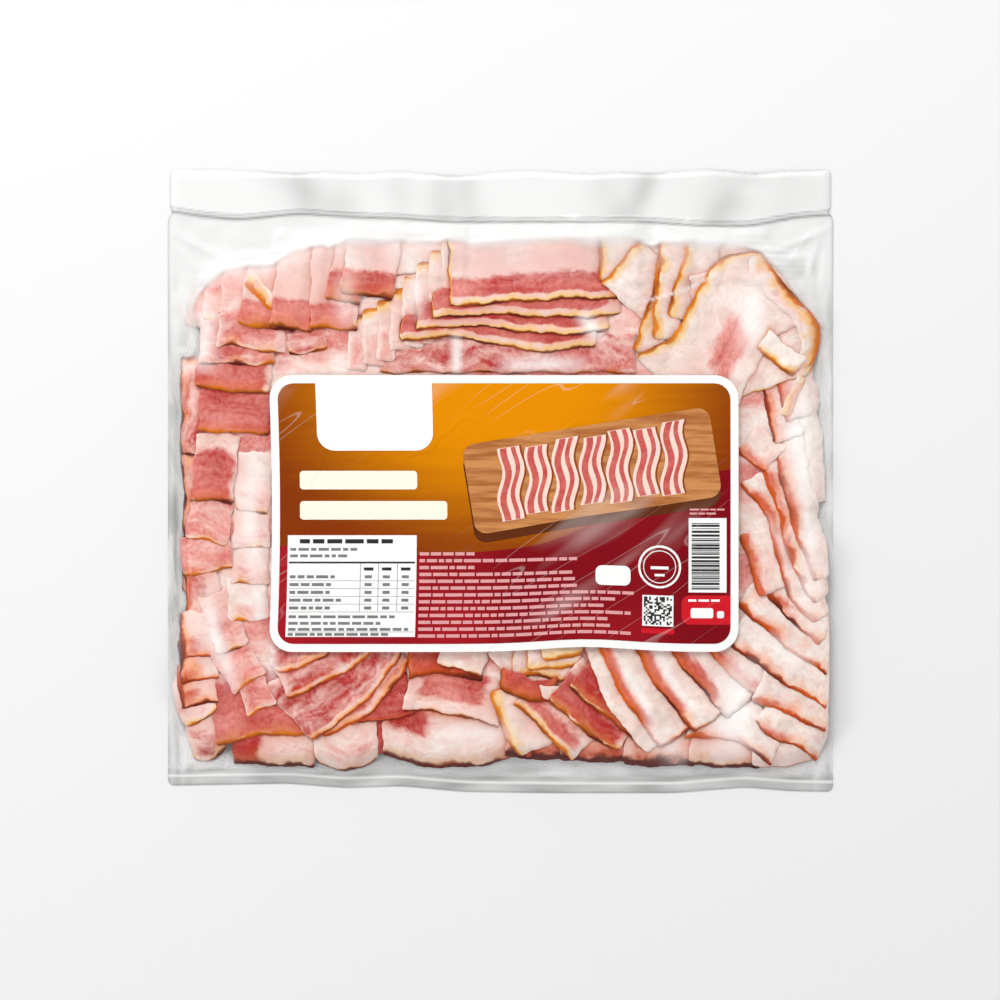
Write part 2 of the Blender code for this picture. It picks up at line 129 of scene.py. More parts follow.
# Fans of rashers from the lowest up: the look, how many, the first and the last. Those
# between are evenly spaced, and a fan of one has no last. They are the part's own.
FANS = [
    # Left border
    ("border", 3, (-128, 50, -128, 4, 0, 0, 14), (-127, -28, -126, -92, 1, 0, 14)),
    # Near edge, lowest layer
    ("corner", 1, (-123, -110.5, -109, -107, -3, 0, 17)),
    ("dark", 1, (-107, -113.5, -74, -115, 0.5, 0, 20)),
    ("under", 1, (-62, -110, -36, -109, 0, 0, 22)),
    ("grey", 1, (-74, -112, -49, -112, -3.5, 0, 22)),
    ("near", 1, (-47, -109.5, 6, -110, -5, 0, 24)),
    ("maroon", 1, (2, -110.5, 30, -112, 0, 0, 20)),
    ("maroon", 2, (24, -112, 53, -112.5, 0, 0, 24), (49, -113.5, 78, -114, -0.3, 0, 23)),
    ("near", 1, (75, -113, 104, -115, -0.5, 0, 22)),
    ("white", 1, (101, -114.5, 125, -111.5, -1, 0, 20)),
    # Near left corner
    ("rose", 1, (-113, -106, -74, -102, 2.5, 0, 30)),
    ("corner", 1, (-126, -98.5, -112, -91, -0.5, 0, 20)),
    ("under", 1, (-57, -97, -34, -93, 0, 0, 18)),
    # Marbled rashers across the near left corner of the label
    ("marbled", 2, (-70, -102, -36, -71, -5, 0, 28), (-75, -103, -39, -68.5, -3.5, 0, 29)),
    ("marbled", 2, (-84, -86.5, -50, -68, -1.5, 0, 18), (-89, -76, -68, -69, -1.5, 0, 12)),
    # Near middle
    ("middle", 1, (-39, -91.5, -1, -98.5, 2, 0, 18)),
    ("orange", 1, (-37, -79, -7, -80.5, 2.5, 0, 12)),
    ("grey", 1, (-26, -73, -8, -79, 1, 0, 12)),
    ("white", 1, (-6, -69, 3, -79, 0, 0, 14)),
    ("gold", 1, (-4, -84, 8, -110, -2, 0, 24)),
    ("streaky", 1, (5, -89, 28, -112, 1, 0, 17)),
    ("gold", 3, (5, -80, 32, -79, 1, 1, 12), (17, -72, 33, -69, 0, 0, 8)),
    ("ember", 1, (-1, -82.5, 21, -87, -2.5, 0, 9)),
    ("white", 1, (17, -87.5, 29, -85, -1, 0, 6)),
    # Slanted rashers along the near edge
    ("red", 2, (19, -87, 46, -108, -1.3, 0, 22), (27, -82, 55, -104, -0.5, 0, 22)),
    ("shell", 1, (73, -103, 108, -114, 5, 0, 18)),
    ("white", 1, (34, -66, 58, -108, -4, 0, 22)),
    ("slanted", 4, (39, -66, 64, -106, -2.5, 0, 26), (80, -66, 104, -89, 0, 0, 26)),
    ("shell", 2, (101, -96, 126, -112, -0.5, -1, 20), (100, -87.5, 130, -100.5, 0.5, 0, 20)),
    ("shell", 2, (90, -64, 131, -91, -1.5, 0, 24), (94, -49, 131, -78, -1.5, 0, 22)),
    ("shell", 1, (105, -46, 126, -66, 0.3, 0, 12)),
    # Right column
    ("lens", 1, (95, -22, 103, -46, 0, 0, 14)),
    ("white", 1, (110, 46, 117, -10, 0, 0, 15)),
    ("shell", 3, (95, -1, 124, -57, 0, 3, 12), (109, 16, 125, -40, -2.5, 0, 12)),
    ("rosy", 1, (94, 12, 105, 3, 0, 0, 14)),
    ("rosy", 2, (102, 42, 108, 15, 1, 0, 12), (104, 50, 113, 23, 2, 0, 12)),
    # Far edge, middle
    ("haze", 2, (-62, 82, -16, 82, 0, 0, 17), (50, 80.5, 104, 80.5, 0, 0, 17)),
    ("mixed", 1, (-48, 43, 54, 43, 0, 0, 16)),
    ("column", 3, (-61, 66, -61, 44, 0, 0, 8), (-49, 72, -49, 48, 0, 0, 8)),
    ("column", 5, (-44, 77, -44, 52, 0, 0, 8), (-23, 97, -24, 58, 0, 0, 8)),
    ("long", 3, (-40, 55, 38, 54, -0.5, 2.5, 10), (-27, 64, 48, 66, 0.5, 1, 11)),
    ("long", 1, (-20, 69, 54, 72.5, 1, 0, 29)),
    # Left column
    ("flank", 3, (-127, -91, -112, -88, 0, 0, 18), (-127, -71, -112, -69, 0, 0, 18)),
    ("pink", 2, (-100, -94, -89, -89.5, 0.8, 0, 14), (-106, -85, -93, -77, 0.5, 0, 20)),
    ("blush", 1, (-113, -69, -100, -64.5, -0.5, 0, 24)),
    ("patchy", 4, (-108, -56, -92, -55, 0, 0, 18), (-106, -12, -92, -13, 0, 0, 24)),
    ("pink", 2, (-127, -38, -106, -35, 0, 0, 16), (-126, -23, -109, -26, 0.5, 0, 18)),
    ("block", 1, (-124, -8, -107, -10, 1, 0, 28)),
    ("block", 2, (-120.5, 20, -92, 18.5, -0.3, 0, 18), (-122, 37, -92, 34, 0, 0, 20)),
    # Far left corner
    ("blush", 3, (-126, 62, -104, 60, 0, 0, 17), (-112, 66, -95, 64, 0, 0, 24)),
    ("pink", 2, (-120, 46.5, -90, 46, 0, 0, 18), (-113, 52.5, -86, 50.5, 1.2, 1, 14)),
    ("pink", 1, (-84, 50.5, -69, 52.5, -1, 0, 9)),
    ("bacon", 1, (-104.5, 62.5, -82, 59, -0.3, 0, 27)),
    ("fold", 1, (-103, 78, -91, 66, 1, 0, 6)),
    ("bacon", 2, (-92, 61.5, -75, 59.5, 0, 0, 36), (-76, 60.5, -57, 60, 0, 0, 36)),
    ("bacon", 2, (-70, 72.5, -56, 69.5, 0, 0, 26), (-64, 75.5, -43, 72, -0.5, 0, 25)),
    # Far right corner
    ("gold", 1, (38.5, 99, 39.5, 79, 0, 0, 16)),
    ("gold", 1, (56, 96.5, 40, 79, 0, 0, 24)),
    ("gold", 1, (64, 99, 52, 52, 2, 0, 12)),
    ("gold", 2, (64, 98, 60, 57, 0, 0, 12), (76, 101, 66, 66, 0, 0, 14)),
    ("gold", 1, (124, 43, 107, 92, -5, -4, 34)),
    ("sheet", 1, (106, 92, 54, 50, -4, -5.5, 38)),
    ("fold", 1, (125, 47, 107, 92, -5, -4, 9)),
    ("gold", 1, (101, 52.5, 116, 41, 0.5, 0, 9)),
    ("fold", 1, (115, 25, 122, 41, 0, 0, 4)),
]


def smoothstep(low, high, value):
    t = np.clip((value - low) / (high - low), 0, 1)
    return t * t * (3 - 2 * t)


def bell(value, centre, width):
    return np.exp(-(((value - centre) / width) ** 2))


def toward(value, goal, share):
    return value + (goal - value) * share


def fanned(count, first, last=None):
    """The rashers of a fan, in order."""
    start = np.array(first, float)
    end = np.array(last if last else first, float)
    for i in range(count):
        share = i / (count - 1) if count > 1 else 0
        yield Rasher(*(start + (end - start) * share))


# Amplitude and wavelength of the waves in a rasher's edges and face, in mm
RIND_WAVES = [(0.4, 23), (0.16, 8.7), (0.1, 3.3)]
BACK_WAVES = [(0.5, 16), (0.25, 6.5), (0.12, 2.9)]
END_WAVES = [(0.35, 14), (0.15, 5)]
RIPPLES = [(0.12, 13), (0.07, 5.5)]
BEND_ROOM = 4 * MM  # how far past its straight outline a rasher may reach


class Waves:
    """A sum of sines with random phases."""

    def __init__(self, rng, sizes):
        self.terms = [(a * MM, 2 * math.pi / (w * MM), rng.uniform(0, 2 * math.pi)) for a, w in sizes]

    def __call__(self, along):
        return sum(a * np.sin(along * turns + phase) for a, turns, phase in self.terms)


class Slice:
    """One rasher with wavy edges of its own."""

    def __init__(self, shape, look, order):
        self.rng = random.Random(order * 7 + 3)
        self.look = look
        self.order = order
        self.ax, self.ay, bx, by, self.bow, self.sway, self.width = (value * MM for value in shape)
        self.length = math.hypot(bx - self.ax, by - self.ay)
        self.ex = (bx - self.ax) / self.length
        self.ey = (by - self.ay) / self.length
        self.rind_waves = Waves(self.rng, RIND_WAVES)
        self.back_waves = Waves(self.rng, BACK_WAVES)
        self.end_waves = Waves(self.rng, END_WAVES)
        self.ripples = Waves(self.rng, RIPPLES)
        self.middle = self.place(self.length / 2, self.width / 2)
        self.reach = math.hypot(self.length, self.width) / 2 + TUCK + BEND_ROOM

    def rind(self, along):
        """How far the rind stands off the straight line between its ends."""
        share = np.clip(along / self.length, 0, 1)
        bow = self.bow * 4 * share * (1 - share) + self.sway * np.sin(2 * math.pi * share)
        return bow + self.rind_waves(along)

    def stretch(self, along):
        return 1 + self.back_waves(along) / self.width

    def place(self, along, depth):
        """Where the point at these distances along and into the rasher lies."""
        off = self.rind(along) + depth * self.stretch(along)
        x = self.ax + along * self.ex - off * self.ey
        y = self.ay + along * self.ey + off * self.ex
        return x, y

    def outside(self, x, y):
        """How far each point lies outside the rasher, 0 within it."""
        along = (x - self.ax) * self.ex + (y - self.ay) * self.ey
        off = (y - self.ay) * self.ex - (x - self.ax) * self.ey
        depth = (off - self.rind(along)) / self.stretch(along)
        gaps = [-depth, depth - self.width, -along, along - self.length, np.zeros_like(x)]
        return np.maximum.reduce(gaps)

    def near(self, x, y):
        """True if the rasher may reach any of the points."""
        gap_x = np.clip(self.middle[0], x.min(), x.max()) - self.middle[0]
        gap_y = np.clip(self.middle[1], y.min(), y.max()) - self.middle[1]
        return math.hypot(gap_x, gap_y) < self.reach


def field_places(size):
    """Places of the field's grid across the bag."""
    return np.arange(-size / 2, size / 2 + FIELD_STEP, FIELD_STEP)


def blurred(field, radius):
    """The field smoothed by a bell curve of this radius."""
    reach = int(math.ceil(3 * radius / FIELD_STEP))
    steps = np.arange(-reach, reach + 1) * FIELD_STEP
    curve = np.exp(-0.5 * (steps / radius) ** 2)
    curve /= curve.sum()
    padded = np.pad(field, reach, mode="edge")
    padded = np.apply_along_axis(np.convolve, 0, padded, curve, "valid")
    return np.apply_along_axis(np.convolve, 1, padded, curve, "valid")


def widened(field, radius):
    """The highest value of the field within this radius of each point."""
    reach = int(round(radius / FIELD_STEP))
    rows, columns = field.shape
    padded = np.pad(field, reach, mode="edge")
    highest = field.copy()
    for i in range(-reach, reach + 1):
        for j in range(-reach, reach + 1):
            if i * i + j * j <= reach * reach:
                moved = padded[reach + i : reach + i + rows, reach + j : reach + j + columns]
                highest = np.maximum(highest, moved)
    return highest


def label_outside(x, y):
    """How far each point lies outside the label's rounded rectangle."""
    dx = np.abs(x - LABEL_CENTRE[0]) - (LABEL_WIDTH / 2 - LABEL_CORNER)
    dy = np.abs(y - LABEL_CENTRE[1]) - (LABEL_HEIGHT / 2 - LABEL_CORNER)
    corner = np.hypot(np.maximum(dx, 0), np.maximum(dy, 0)) - LABEL_CORNER
    return np.maximum(corner + np.minimum(np.maximum(dx, dy), 0), 0)


def label_shares(x, y):
    """Places on the label, from -1 to 1 across it and from its near side to its far one."""
    return (x - LABEL_CENTRE[0]) / (LABEL_WIDTH / 2), (y - LABEL_CENTRE[1]) / (LABEL_HEIGHT / 2)


def label_ground(x, y):
    """Height of the film under the label: a low crown with a slow swell."""
    u, v = label_shares(x, y)
    fall = LABEL_FALL * (u**4 + v**4) / 2
    swell = 0.25 * MM * np.sin(3.1 * u + 0.4) * np.cos(2.3 * v)
    return LABEL_CROWN - fall + swell


def side_thinning(x, y):
    """The pack gets thin towards its left, right and near edges, as a cushion does."""
    inward = np.minimum(BAG_WIDTH / 2 - np.abs(x), y + BAG_LENGTH / 2)
    t = np.clip(inward / SIDE_ROUND, 0, 1)
    return np.sqrt(t * (2 - t))


def packed(stack, x, y):
    """Height of a stack of rashers as it is pressed by the film."""
    return PRESS * (1 - np.exp(-stack / PRESS)) * side_thinning(x, y)


class Pile:
    """The rashers stacked on their bed, as heights over the bag's plan."""

    def __init__(self):
        self.slices = []
        for look, *fan in FANS:
            for shape in fanned(*fan):
                self.slices.append(Slice(shape, LOOKS[look], len(self.slices)))
        self.x = field_places(BAG_WIDTH)
        self.y = field_places(BAG_LENGTH)
        x, y = np.meshgrid(self.x, self.y)
        covered = np.zeros_like(x)
        for piece in self.slices:
            covered = np.maximum(covered, piece.outside(x, y) <= 0)
        left, near, right, far = (value * MM for value in BED_AREA)
        inner = (x > left) & (x < right) & (y > near) & (y < far)
        covered = np.maximum(covered, inner)
        self.bed = BED * smoothstep(0.45, 1.0, blurred(covered.astype(float), BED_SLOPE / 2))
        self.top = self.height(x, y, len(self.slices))

    def sample(self, field, x, y):
        """The field's values between its grid's points."""
        i = np.clip((y - self.y[0]) / FIELD_STEP, 0, len(self.y) - 1.001)
        j = np.clip((x - self.x[0]) / FIELD_STEP, 0, len(self.x) - 1.001)
        row = i.astype(int)
        column = j.astype(int)
        p = i - row
        q = j - column
        near = field[row, column] * (1 - q) + field[row, column + 1] * q
        far = field[row + 1, column] * (1 - q) + field[row + 1, column + 1] * q
        return near * (1 - p) + far * p

    def height(self, x, y, count):
        """Top of the bed and of the lowest rashers, as many as count says."""
        stack = self.sample(self.bed, x, y)
        for piece in self.slices[:count]:
            if piece.near(x, y):
                over = 1 - smoothstep(0, TUCK, piece.outside(x, y))
                stack = stack + RASHER * piece.look.thick * over
        return packed(stack, x, y)

    def gap_to_cover(self, x, y, order):
        """How far each point is from the nearest rasher that lies above this one."""
        gap = np.full_like(x, 1.0)
        for piece in self.slices[order + 1 :]:
            if piece.near(x, y):
                gap = np.minimum(gap, piece.outside(x, y) + (1 - piece.look.thick) * THIN_GAP)
        return gap


class Graph:
    """A node material that is written as nested calls."""

    def __init__(self, name):
        self.material = bpy.data.materials.new(name)
        self.material.use_nodes = True
        self.tree = self.material.node_tree
        self.tree.nodes.clear()

    def node(self, kind, inputs, output=0, **settings):
        made = self.tree.nodes.new("ShaderNode" + kind)
        for key, value in settings.items():
            setattr(made, key, value)
        for key, value in inputs.items():
            if isinstance(value, bpy.types.NodeSocket):
                self.tree.links.new(value, made.inputs[key])
            else:
                made.inputs[key].default_value = value
        return made.outputs[output]

    def math(self, operation, a, b=0.0, c=0.0):
        return self.node("Math", {0: a, 1: b, 2: c}, operation=operation)

    def add(self, a, b):
        return self.math("ADD", a, b)

    def times(self, a, b):
        return self.math("MULTIPLY", a, b)

    def scaled(self, value, factor, offset):
        return self.math("MULTIPLY_ADD", value, factor, offset)

    def blend(self, share, a, b, kind="MIX"):
        """Colour a turning into colour b, or into the product of both."""
        inputs = {"Factor": share, 6: a, 7: b}
        settings = {"data_type": "RGBA", "clamp_factor": True, "blend_type": kind}
        return self.node("Mix", inputs, output=2, **settings)

    def step(self, value, low, high, to_low=0.0, to_high=1.0):
        """A smooth rise between low and high."""
        inputs = {"Value": value, 1: low, 2: high, 3: to_low, 4: to_high}
        return self.node("MapRange", inputs, interpolation_type="SMOOTHSTEP")

    def noise(self, vector, scale, detail=2.0, roughness=0.5, output="Fac"):
        inputs = {"Vector": vector, "Scale": scale, "Detail": detail, "Roughness": roughness}
        return self.node("TexNoise", inputs, output=output)

    def attribute(self, name):
        return self.node("Attribute", {}, output="Vector", attribute_name=name)

    def parts(self, vector):
        made = self.tree.nodes.new("ShaderNodeSeparateXYZ")
        self.tree.links.new(vector, made.inputs[0])
        return made.outputs

    def vector(self, operation, a, b):
        return self.node("VectorMath", {0: a, 1: b}, operation=operation)

    def stretched(self, vector, x, y):
        """The place scaled in plan, so that a pattern gets longer along one side."""
        return self.vector("MULTIPLY", vector, (x, y, 1.0))

    def bump(self, height, distance):
        return self.node("Bump", {"Height": height, "Distance": distance})

    def finish(self, shader):
        out = self.tree.nodes.new("ShaderNodeOutputMaterial")
        self.tree.links.new(shader, out.inputs["Surface"])
        return self.material


def linear(value):
    """A screen value from 0 to 255 as light."""
    share = value / 255
    return share / 12.92 if share <= 0.04045 else ((share + 0.055) / 1.055) ** 2.4


def srgb(red, green, blue):
    return (linear(red), linear(green), linear(blue), 1.0)


FAT_WHITE = srgb(249, 236, 228)
FAT_BLUSH = srgb(240, 184, 174)
FAT_DULL = srgb(224, 198, 184)
PAINTED_GLARE_WHITE = srgb(255, 252, 250)
EDGE_CREAM = srgb(244, 198, 112)
EDGE_ORANGE = srgb(240, 148, 90)
LEAN_PALE = srgb(234, 154, 144)
LEAN_DEEP = srgb(184, 48, 46)
LEAN_WARM = srgb(206, 78, 36)
RIND_GOLD = srgb(224, 130, 12)
RIND_RED = srgb(204, 72, 14)
RIND_BROWN = srgb(98, 18, 4)
PAINTED_SHADE_TINT = srgb(210, 116, 70)
MILK_WHITE = srgb(252, 252, 251)
MILK_GREY = srgb(150, 151, 149)
GLINT = (1.0, 0.95, 0.9, 1.0)


def bacon_material():
    """Lean and fat in streaks along the rasher, marbled, with a smoked rind."""
    g = Graph("bacon")
    cut = g.attribute("cut")
    lean, red, blush = g.parts(g.attribute("meat"))
    share, dark, painted_shade = g.parts(g.attribute("edge"))
    warm, glow, painted_glare = g.parts(g.attribute("tone_and_glare"))

    # Patterns from coarse to fine, bent a little so that no streak is straight
    drift = g.vector("SUBTRACT", g.noise(cut, 75, 1, output="Color"), (0.5, 0.5, 0.5))
    moved = g.vector("ADD", cut, g.vector("MULTIPLY", drift, (0.008, 0.008, 0.0)))
    patch = g.noise(cut, 48, 1)
    mottle = g.noise(moved, 120, 2, 0.6)
    worn = g.noise(cut, 150, 2, 0.5)
    streak = g.noise(g.stretched(moved, 0.34, 1.0), 210, 2, 0.55)
    strand = g.noise(g.stretched(moved, 0.14, 1.0), 300, 2)
    fine = g.noise(moved, 520, 2, 0.6)

    # Fat
    lean = g.add(lean, g.scaled(streak, 1.0, -0.5))
    lean = g.add(lean, g.scaled(fine, 0.3, -0.15))
    halo = g.step(lean, -0.1, 0.4, 0.0, 0.7)
    blush = g.scaled(blush, 0.9, g.scaled(patch, 1.8, -1.15))
    grain = g.add(g.step(fine, 0.35, 0.75, 0.0, 0.35), g.step(mottle, 0.42, 0.68, 0.0, 0.5))
    fat = g.blend(grain, FAT_WHITE, FAT_DULL)
    fat = g.blend(g.math("MAXIMUM", blush, halo), fat, FAT_BLUSH)

    # Lean
    deep = g.add(red, g.scaled(strand, 0.9, -0.45))
    deep = g.add(deep, g.scaled(patch, 1.5, -0.85))
    deep = g.add(deep, g.scaled(fine, 1.0, -0.5))
    flesh = g.blend(deep, LEAN_PALE, LEAN_DEEP)
    singed = g.times(g.step(share, 0.8, 5.0), g.scaled(warm, -0.5, -0.35))
    singed = g.add(singed, g.scaled(warm, 0.5, 0.35))
    flesh = g.blend(singed, flesh, LEAN_WARM)
    mask = g.step(lean, 0.22, 0.72)
    colour = g.blend(mask, fat, flesh)

    # Rind, and its glow in the fat beside it
    share = g.math("DIVIDE", share, g.math("MAXIMUM", g.scaled(worn, 3.4, -0.7), 0.15))
    glow = g.times(glow, g.step(share, 0.8, 3.0, 0.85, 0.0))
    glow = g.times(glow, g.scaled(mask, -0.7, 1.0))
    colour = g.blend(glow, colour, g.blend(warm, EDGE_CREAM, EDGE_ORANGE))
    smoke = g.add(dark, g.scaled(patch, 3.4, -1.7))
    smoke = g.add(smoke, g.step(share, 0.15, 0.6, 0.25, -0.1))
    rind = g.blend(smoke, g.blend(warm, RIND_GOLD, RIND_RED), RIND_BROWN)
    colour = g.blend(g.step(share, 0.5, 1.15, 1.0, 0.0), colour, rind)

    # Painted shade beside the rashers above, multiplied into the colour
    colour = g.blend(painted_shade, colour, PAINTED_SHADE_TINT, kind="MULTIPLY")
    # Painted glare: lightened towards white where the film shines
    colour = g.blend(painted_glare, colour, PAINTED_GLARE_WHITE)
    inputs = {
        "Base Color": colour,
        "Roughness": 0.45,
        "Specular IOR Level": 0.18,
        "Normal": g.bump(fine, 0.2 * MM),
    }
    return g.finish(g.node("BsdfPrincipled", inputs))


def film_material():
    """Clear film: glossy, milky where the attribute says so, and greyish in places."""
    g = Graph("film")
    milk, grey, dull = g.parts(g.attribute("milk"))
    facing = g.node("LayerWeight", {"Blend": 0.5}, output="Facing")
    shine = g.scaled(g.math("POWER", facing, 5.0), 0.18, 0.013)
    clear = g.node("BsdfTransparent", {"Color": (1, 1, 1, 1)})
    inputs = {"Color": (1, 1, 1, 1), "Roughness": g.scaled(dull, 0.35, 0.15)}
    film = g.node("MixShader", {0: shine, 1: clear, 2: g.node("BsdfGlossy", inputs)})
    inputs = {
        "Base Color": g.blend(grey, MILK_WHITE, MILK_GREY),
        "Roughness": g.scaled(dull, 0.3, 0.3),
        "Specular IOR Level": 0.4,
    }
    satin = g.node("BsdfPrincipled", inputs)
    return g.finish(g.node("MixShader", {0: milk, 1: film, 2: satin}))


def print_material(name, colour):
    """Glossy print, of one colour or coloured by a function, with the label's creases and painted
    glints.
    """
    g = Graph(name)
    place = g.node("TexCoord", {}, output="Object")
    if callable(colour):
        colour = colour(g, place)
    crease = g.math("ABSOLUTE", g.math("SUBTRACT", g.noise(place, 24, 2, 0.4), 0.5))
    turned = g.node("VectorRotate", {"Vector": place, "Angle": 0.95}, rotation_type="Z_AXIS")
    # Painted glints: thin lines and soft streaks lightened towards white
    glint_line = g.noise(g.stretched(turned, 1.0, 0.1), 120, 0)
    glint_line = g.step(g.math("ABSOLUTE", g.math("SUBTRACT", glint_line, 0.5)), 0.0, 0.012, 0.17, 0.0)
    sheen = g.step(g.noise(g.stretched(turned, 1.0, 0.22), 60, 2), 0.58, 0.8, 0.0, 0.26)
    glint = g.times(g.add(glint_line, sheen), g.step(g.noise(place, 22, 1), 0.48, 0.64))
    inputs = {
        "Base Color": g.blend(glint, colour, GLINT),
        "Roughness": 0.22,
        "Specular IOR Level": 0.1,
        "Normal": g.bump(g.step(crease, 0.0, 0.025, 1.0, 0.0), 0.15 * MM),
    }
    return g.finish(g.node("BsdfPrincipled", inputs))


def add_object(name, mesh, material):
    made = bpy.data.objects.new(name, mesh)
    bpy.context.scene.collection.objects.link(made)
    mesh.materials.append(material)
    mesh.shade_smooth()
    return made


def grid_faces(rows, columns, offset=0, turned=False):
    """Quads of a grid whose points are numbered row by row."""
    i, j = np.meshgrid(np.arange(rows - 1), np.arange(columns - 1), indexing="ij")
    a = (i * columns + j + offset).ravel()
    quads = np.stack([a, a + 1, a + columns + 1, a + columns], axis=1)
    return quads[:, ::-1] if turned else quads


def rim_faces(rows, columns):
    """Quads that close the edges between an upper grid and a lower one after it."""
    count = rows * columns
    near = np.arange(columns)
    right = np.arange(rows) * columns + columns - 1
    far = np.arange(columns)[::-1] + (rows - 1) * columns
    left = np.arange(rows)[::-1] * columns
    loop = np.concatenate([near[:-1], right[:-1], far[:-1], left[:-1]])
    after = np.roll(loop, -1)
    return np.stack([loop + count, after + count, after, loop], axis=1)


def mesh_of(name, points, faces):
    mesh = bpy.data.meshes.new(name)
    mesh.from_pydata(points.reshape(-1, 3).tolist(), [], faces.tolist())
    mesh.update()
    return mesh


def mesh_from(name, shapes):
    mesh = bpy.data.meshes.new(name)
    shapes.to_mesh(mesh)
    shapes.free()
    return mesh


def slab_mesh(name, top, bottom):
    """A closed slab between two grids of points."""
    rows, columns = top.shape[:2]
    faces = [
        grid_faces(rows, columns),
        grid_faces(rows, columns, offset=rows * columns, turned=True),
        rim_faces(rows, columns),
    ]
    return mesh_of(name, np.stack([top, bottom]), np.concatenate(faces))


def vector_attribute(mesh, name, *values):
    """Three numbers at each point, the same on the upper and the lower face."""
    grid = np.stack(np.broadcast_arrays(*values), axis=-1).reshape(-1, 3)
    copies = len(mesh.vertices) // len(grid)
    layer = mesh.attributes.new(name, "FLOAT_VECTOR", "POINT")
    layer.data.foreach_set("vector", np.tile(grid, (copies, 1)).astype(np.float32).ravel())


def crease(x, y, *row):
    """A ridge from one point to another that fades towards its ends."""
    ax, ay, bx, by, half_width, height = (value * MM for value in row)
    length = math.hypot(bx - ax, by - ay)
    along = ((x - ax) * (bx - ax) + (y - ay) * (by - ay)) / length
    across = ((x - ax) * (by - ay) - (y - ay) * (bx - ax)) / length
    across = across + 1.2 * MM * np.sin(along / (9 * MM) + bx / MM)
    share = np.clip(along / length, 0, 1)
    fade = np.sin(math.pi * share) ** 0.7 * (along > 0) * (along < length)
    return height * fade * bell(across, 0, half_width)


# Painted glare: streaks where the rashers are lightened towards white for the film's shine
# over them: from and to and half width in mm, then how much
GLARES = [
    (-119, -42, -105, -84, 3.0, 0.7), (-96, -40, -91, -82, 3.0, 0.8), (-119, 72, -117, 42, 5.0, 0.7),
    (-19, 60, -18, 38, 2.2, 0.8), (92, -70, 95, -112, 7.5, 0.9), (32, 68, 42, 56, 3.0, 0.8),
    (104, 84, 98, 50, 5.5, 0.7), (-2, 47, 36, 45, 3.0, 0.7), (-99, 18, -99, -44, 4.0, 0.6),
    (56, -96, 74, -114, 4.5, 0.5), (121, 0, 125, -70, 4.0, 0.6), (106, -60, 124, -76, 4.0, 0.5),
    (46, -68, 62, -101, 2.0, 0.6), (-36, 96, -33, 62, 2.5, 0.5), (-112, 80, -84, 88, 5.0, 0.3),
    (62, -68, 78, -92, 2.0, 0.5), (50, 68.5, 90, 84, 0.5, 0.7), (119, 44, 121, -10, 6.0, 0.8),
    (106, -12, 119, -52, 1.6, 0.5), (-62, 84, -60, 60, 4.0, 0.4), (10, -98, -30, -104, 4.0, 0.5),
]
CELL = 1.0 * MM
RIM = np.array([0, 0.25, 0.55, 0.9]) * MM
EDGE_DROP = 0.6  # how far a rasher's rim drops, as a share of its thickness
THIN_GAP = 2.5 * MM  # how much farther off a rasher of no thickness would seem to lie
CORNER_CUT = 1.4 * MM
PATCH_SOFT = 3.5 * MM  # how softly a patch of lean ends along the rasher
PATCH_FADE = 3.0 * MM  # how softly it ends deep in the rasher
CUT_EDGE_HIGHLIGHT = 0.2  # how much less lean a cut edge is, a painted highlight on its rim
FAR_OFF = 9.0  # stands for no rind at an edge
CUT_APART = 0.173  # metres between the patterns of two rashers
# Painted shade on a rasher beside the ones above it: a narrow dark line and a broader shade
CONTACT_SHADE_REACH = 0.45 * MM
CONTACT_SHADE_DEPTH = 0.3
SHADE_REACH = 3.2 * MM
SHADE_DEPTH = 0.6
GAP_EVERY = 13 * MM  # one faint stretch of rind to the next


def spaced(length):
    """Places from 0 to length, closer together at both ends."""
    inner = max(int(round((length - 2 * RIM[-1]) / CELL)), 1)
    middle = np.linspace(RIM[-1], length - RIM[-1], inner + 1)
    return np.concatenate([RIM[:-1], middle, length - RIM[:-1][::-1]])


def squeezed(x):
    """Pushes what would pass the bag's sides back inside."""
    room = SQUEEZE_TO - SQUEEZE_FROM
    over = np.maximum(np.abs(x) - SQUEEZE_FROM, 0)
    inside = np.minimum(np.abs(x), SQUEEZE_FROM)
    return np.sign(x) * (inside + room * (1 - np.exp(-over / room)))


def rounded_corners(value, extent, other, other_extent):
    """Distances along one axis with the four corners drawn in."""
    near_end = np.maximum(CORNER_CUT - value, value - (extent - CORNER_CUT)).clip(0) / CORNER_CUT
    near_side = np.maximum(CORNER_CUT - other, other - (other_extent - CORNER_CUT)).clip(0)
    drawn = CORNER_CUT * near_end * (1 - np.sqrt(1 - (near_side / CORNER_CUT) ** 2 / 2))
    return value - np.sign(value - extent / 2) * drawn


def along_edge(distance, width):
    """How many rind widths in from the edge, or far off where it has no rind."""
    return distance / (width * MM) if width else np.full_like(distance, FAR_OFF)


def varied(rng, value, spread):
    return value + rng.uniform(-spread, spread)


def lean_patch(piece, u, v):
    """How much each point belongs to the rasher's patch of lean, from 0 to 1."""
    u0, u1, v0, v1 = piece.look.patch
    u0 = varied(piece.rng, u0, 0.04)
    u1 = varied(piece.rng, u1, 0.05)
    v1 = varied(piece.rng, v1, 1.5) * MM
    start = u0 * piece.length
    end = u1 * piece.length
    within = smoothstep(start - PATCH_SOFT, start + PATCH_SOFT, u) if u0 > 0.03 else 1.0
    if u1 < 0.97:
        within = within * (1 - smoothstep(end - PATCH_SOFT, end + PATCH_SOFT, u))
    if v0 > 0:
        ease = min(v0 / 3, 3.5) * MM
        within = within * smoothstep(v0 * MM - ease, v0 * MM + ease, v)
    return within * (1 - smoothstep(v1 - PATCH_FADE, v1 + PATCH_FADE, v))


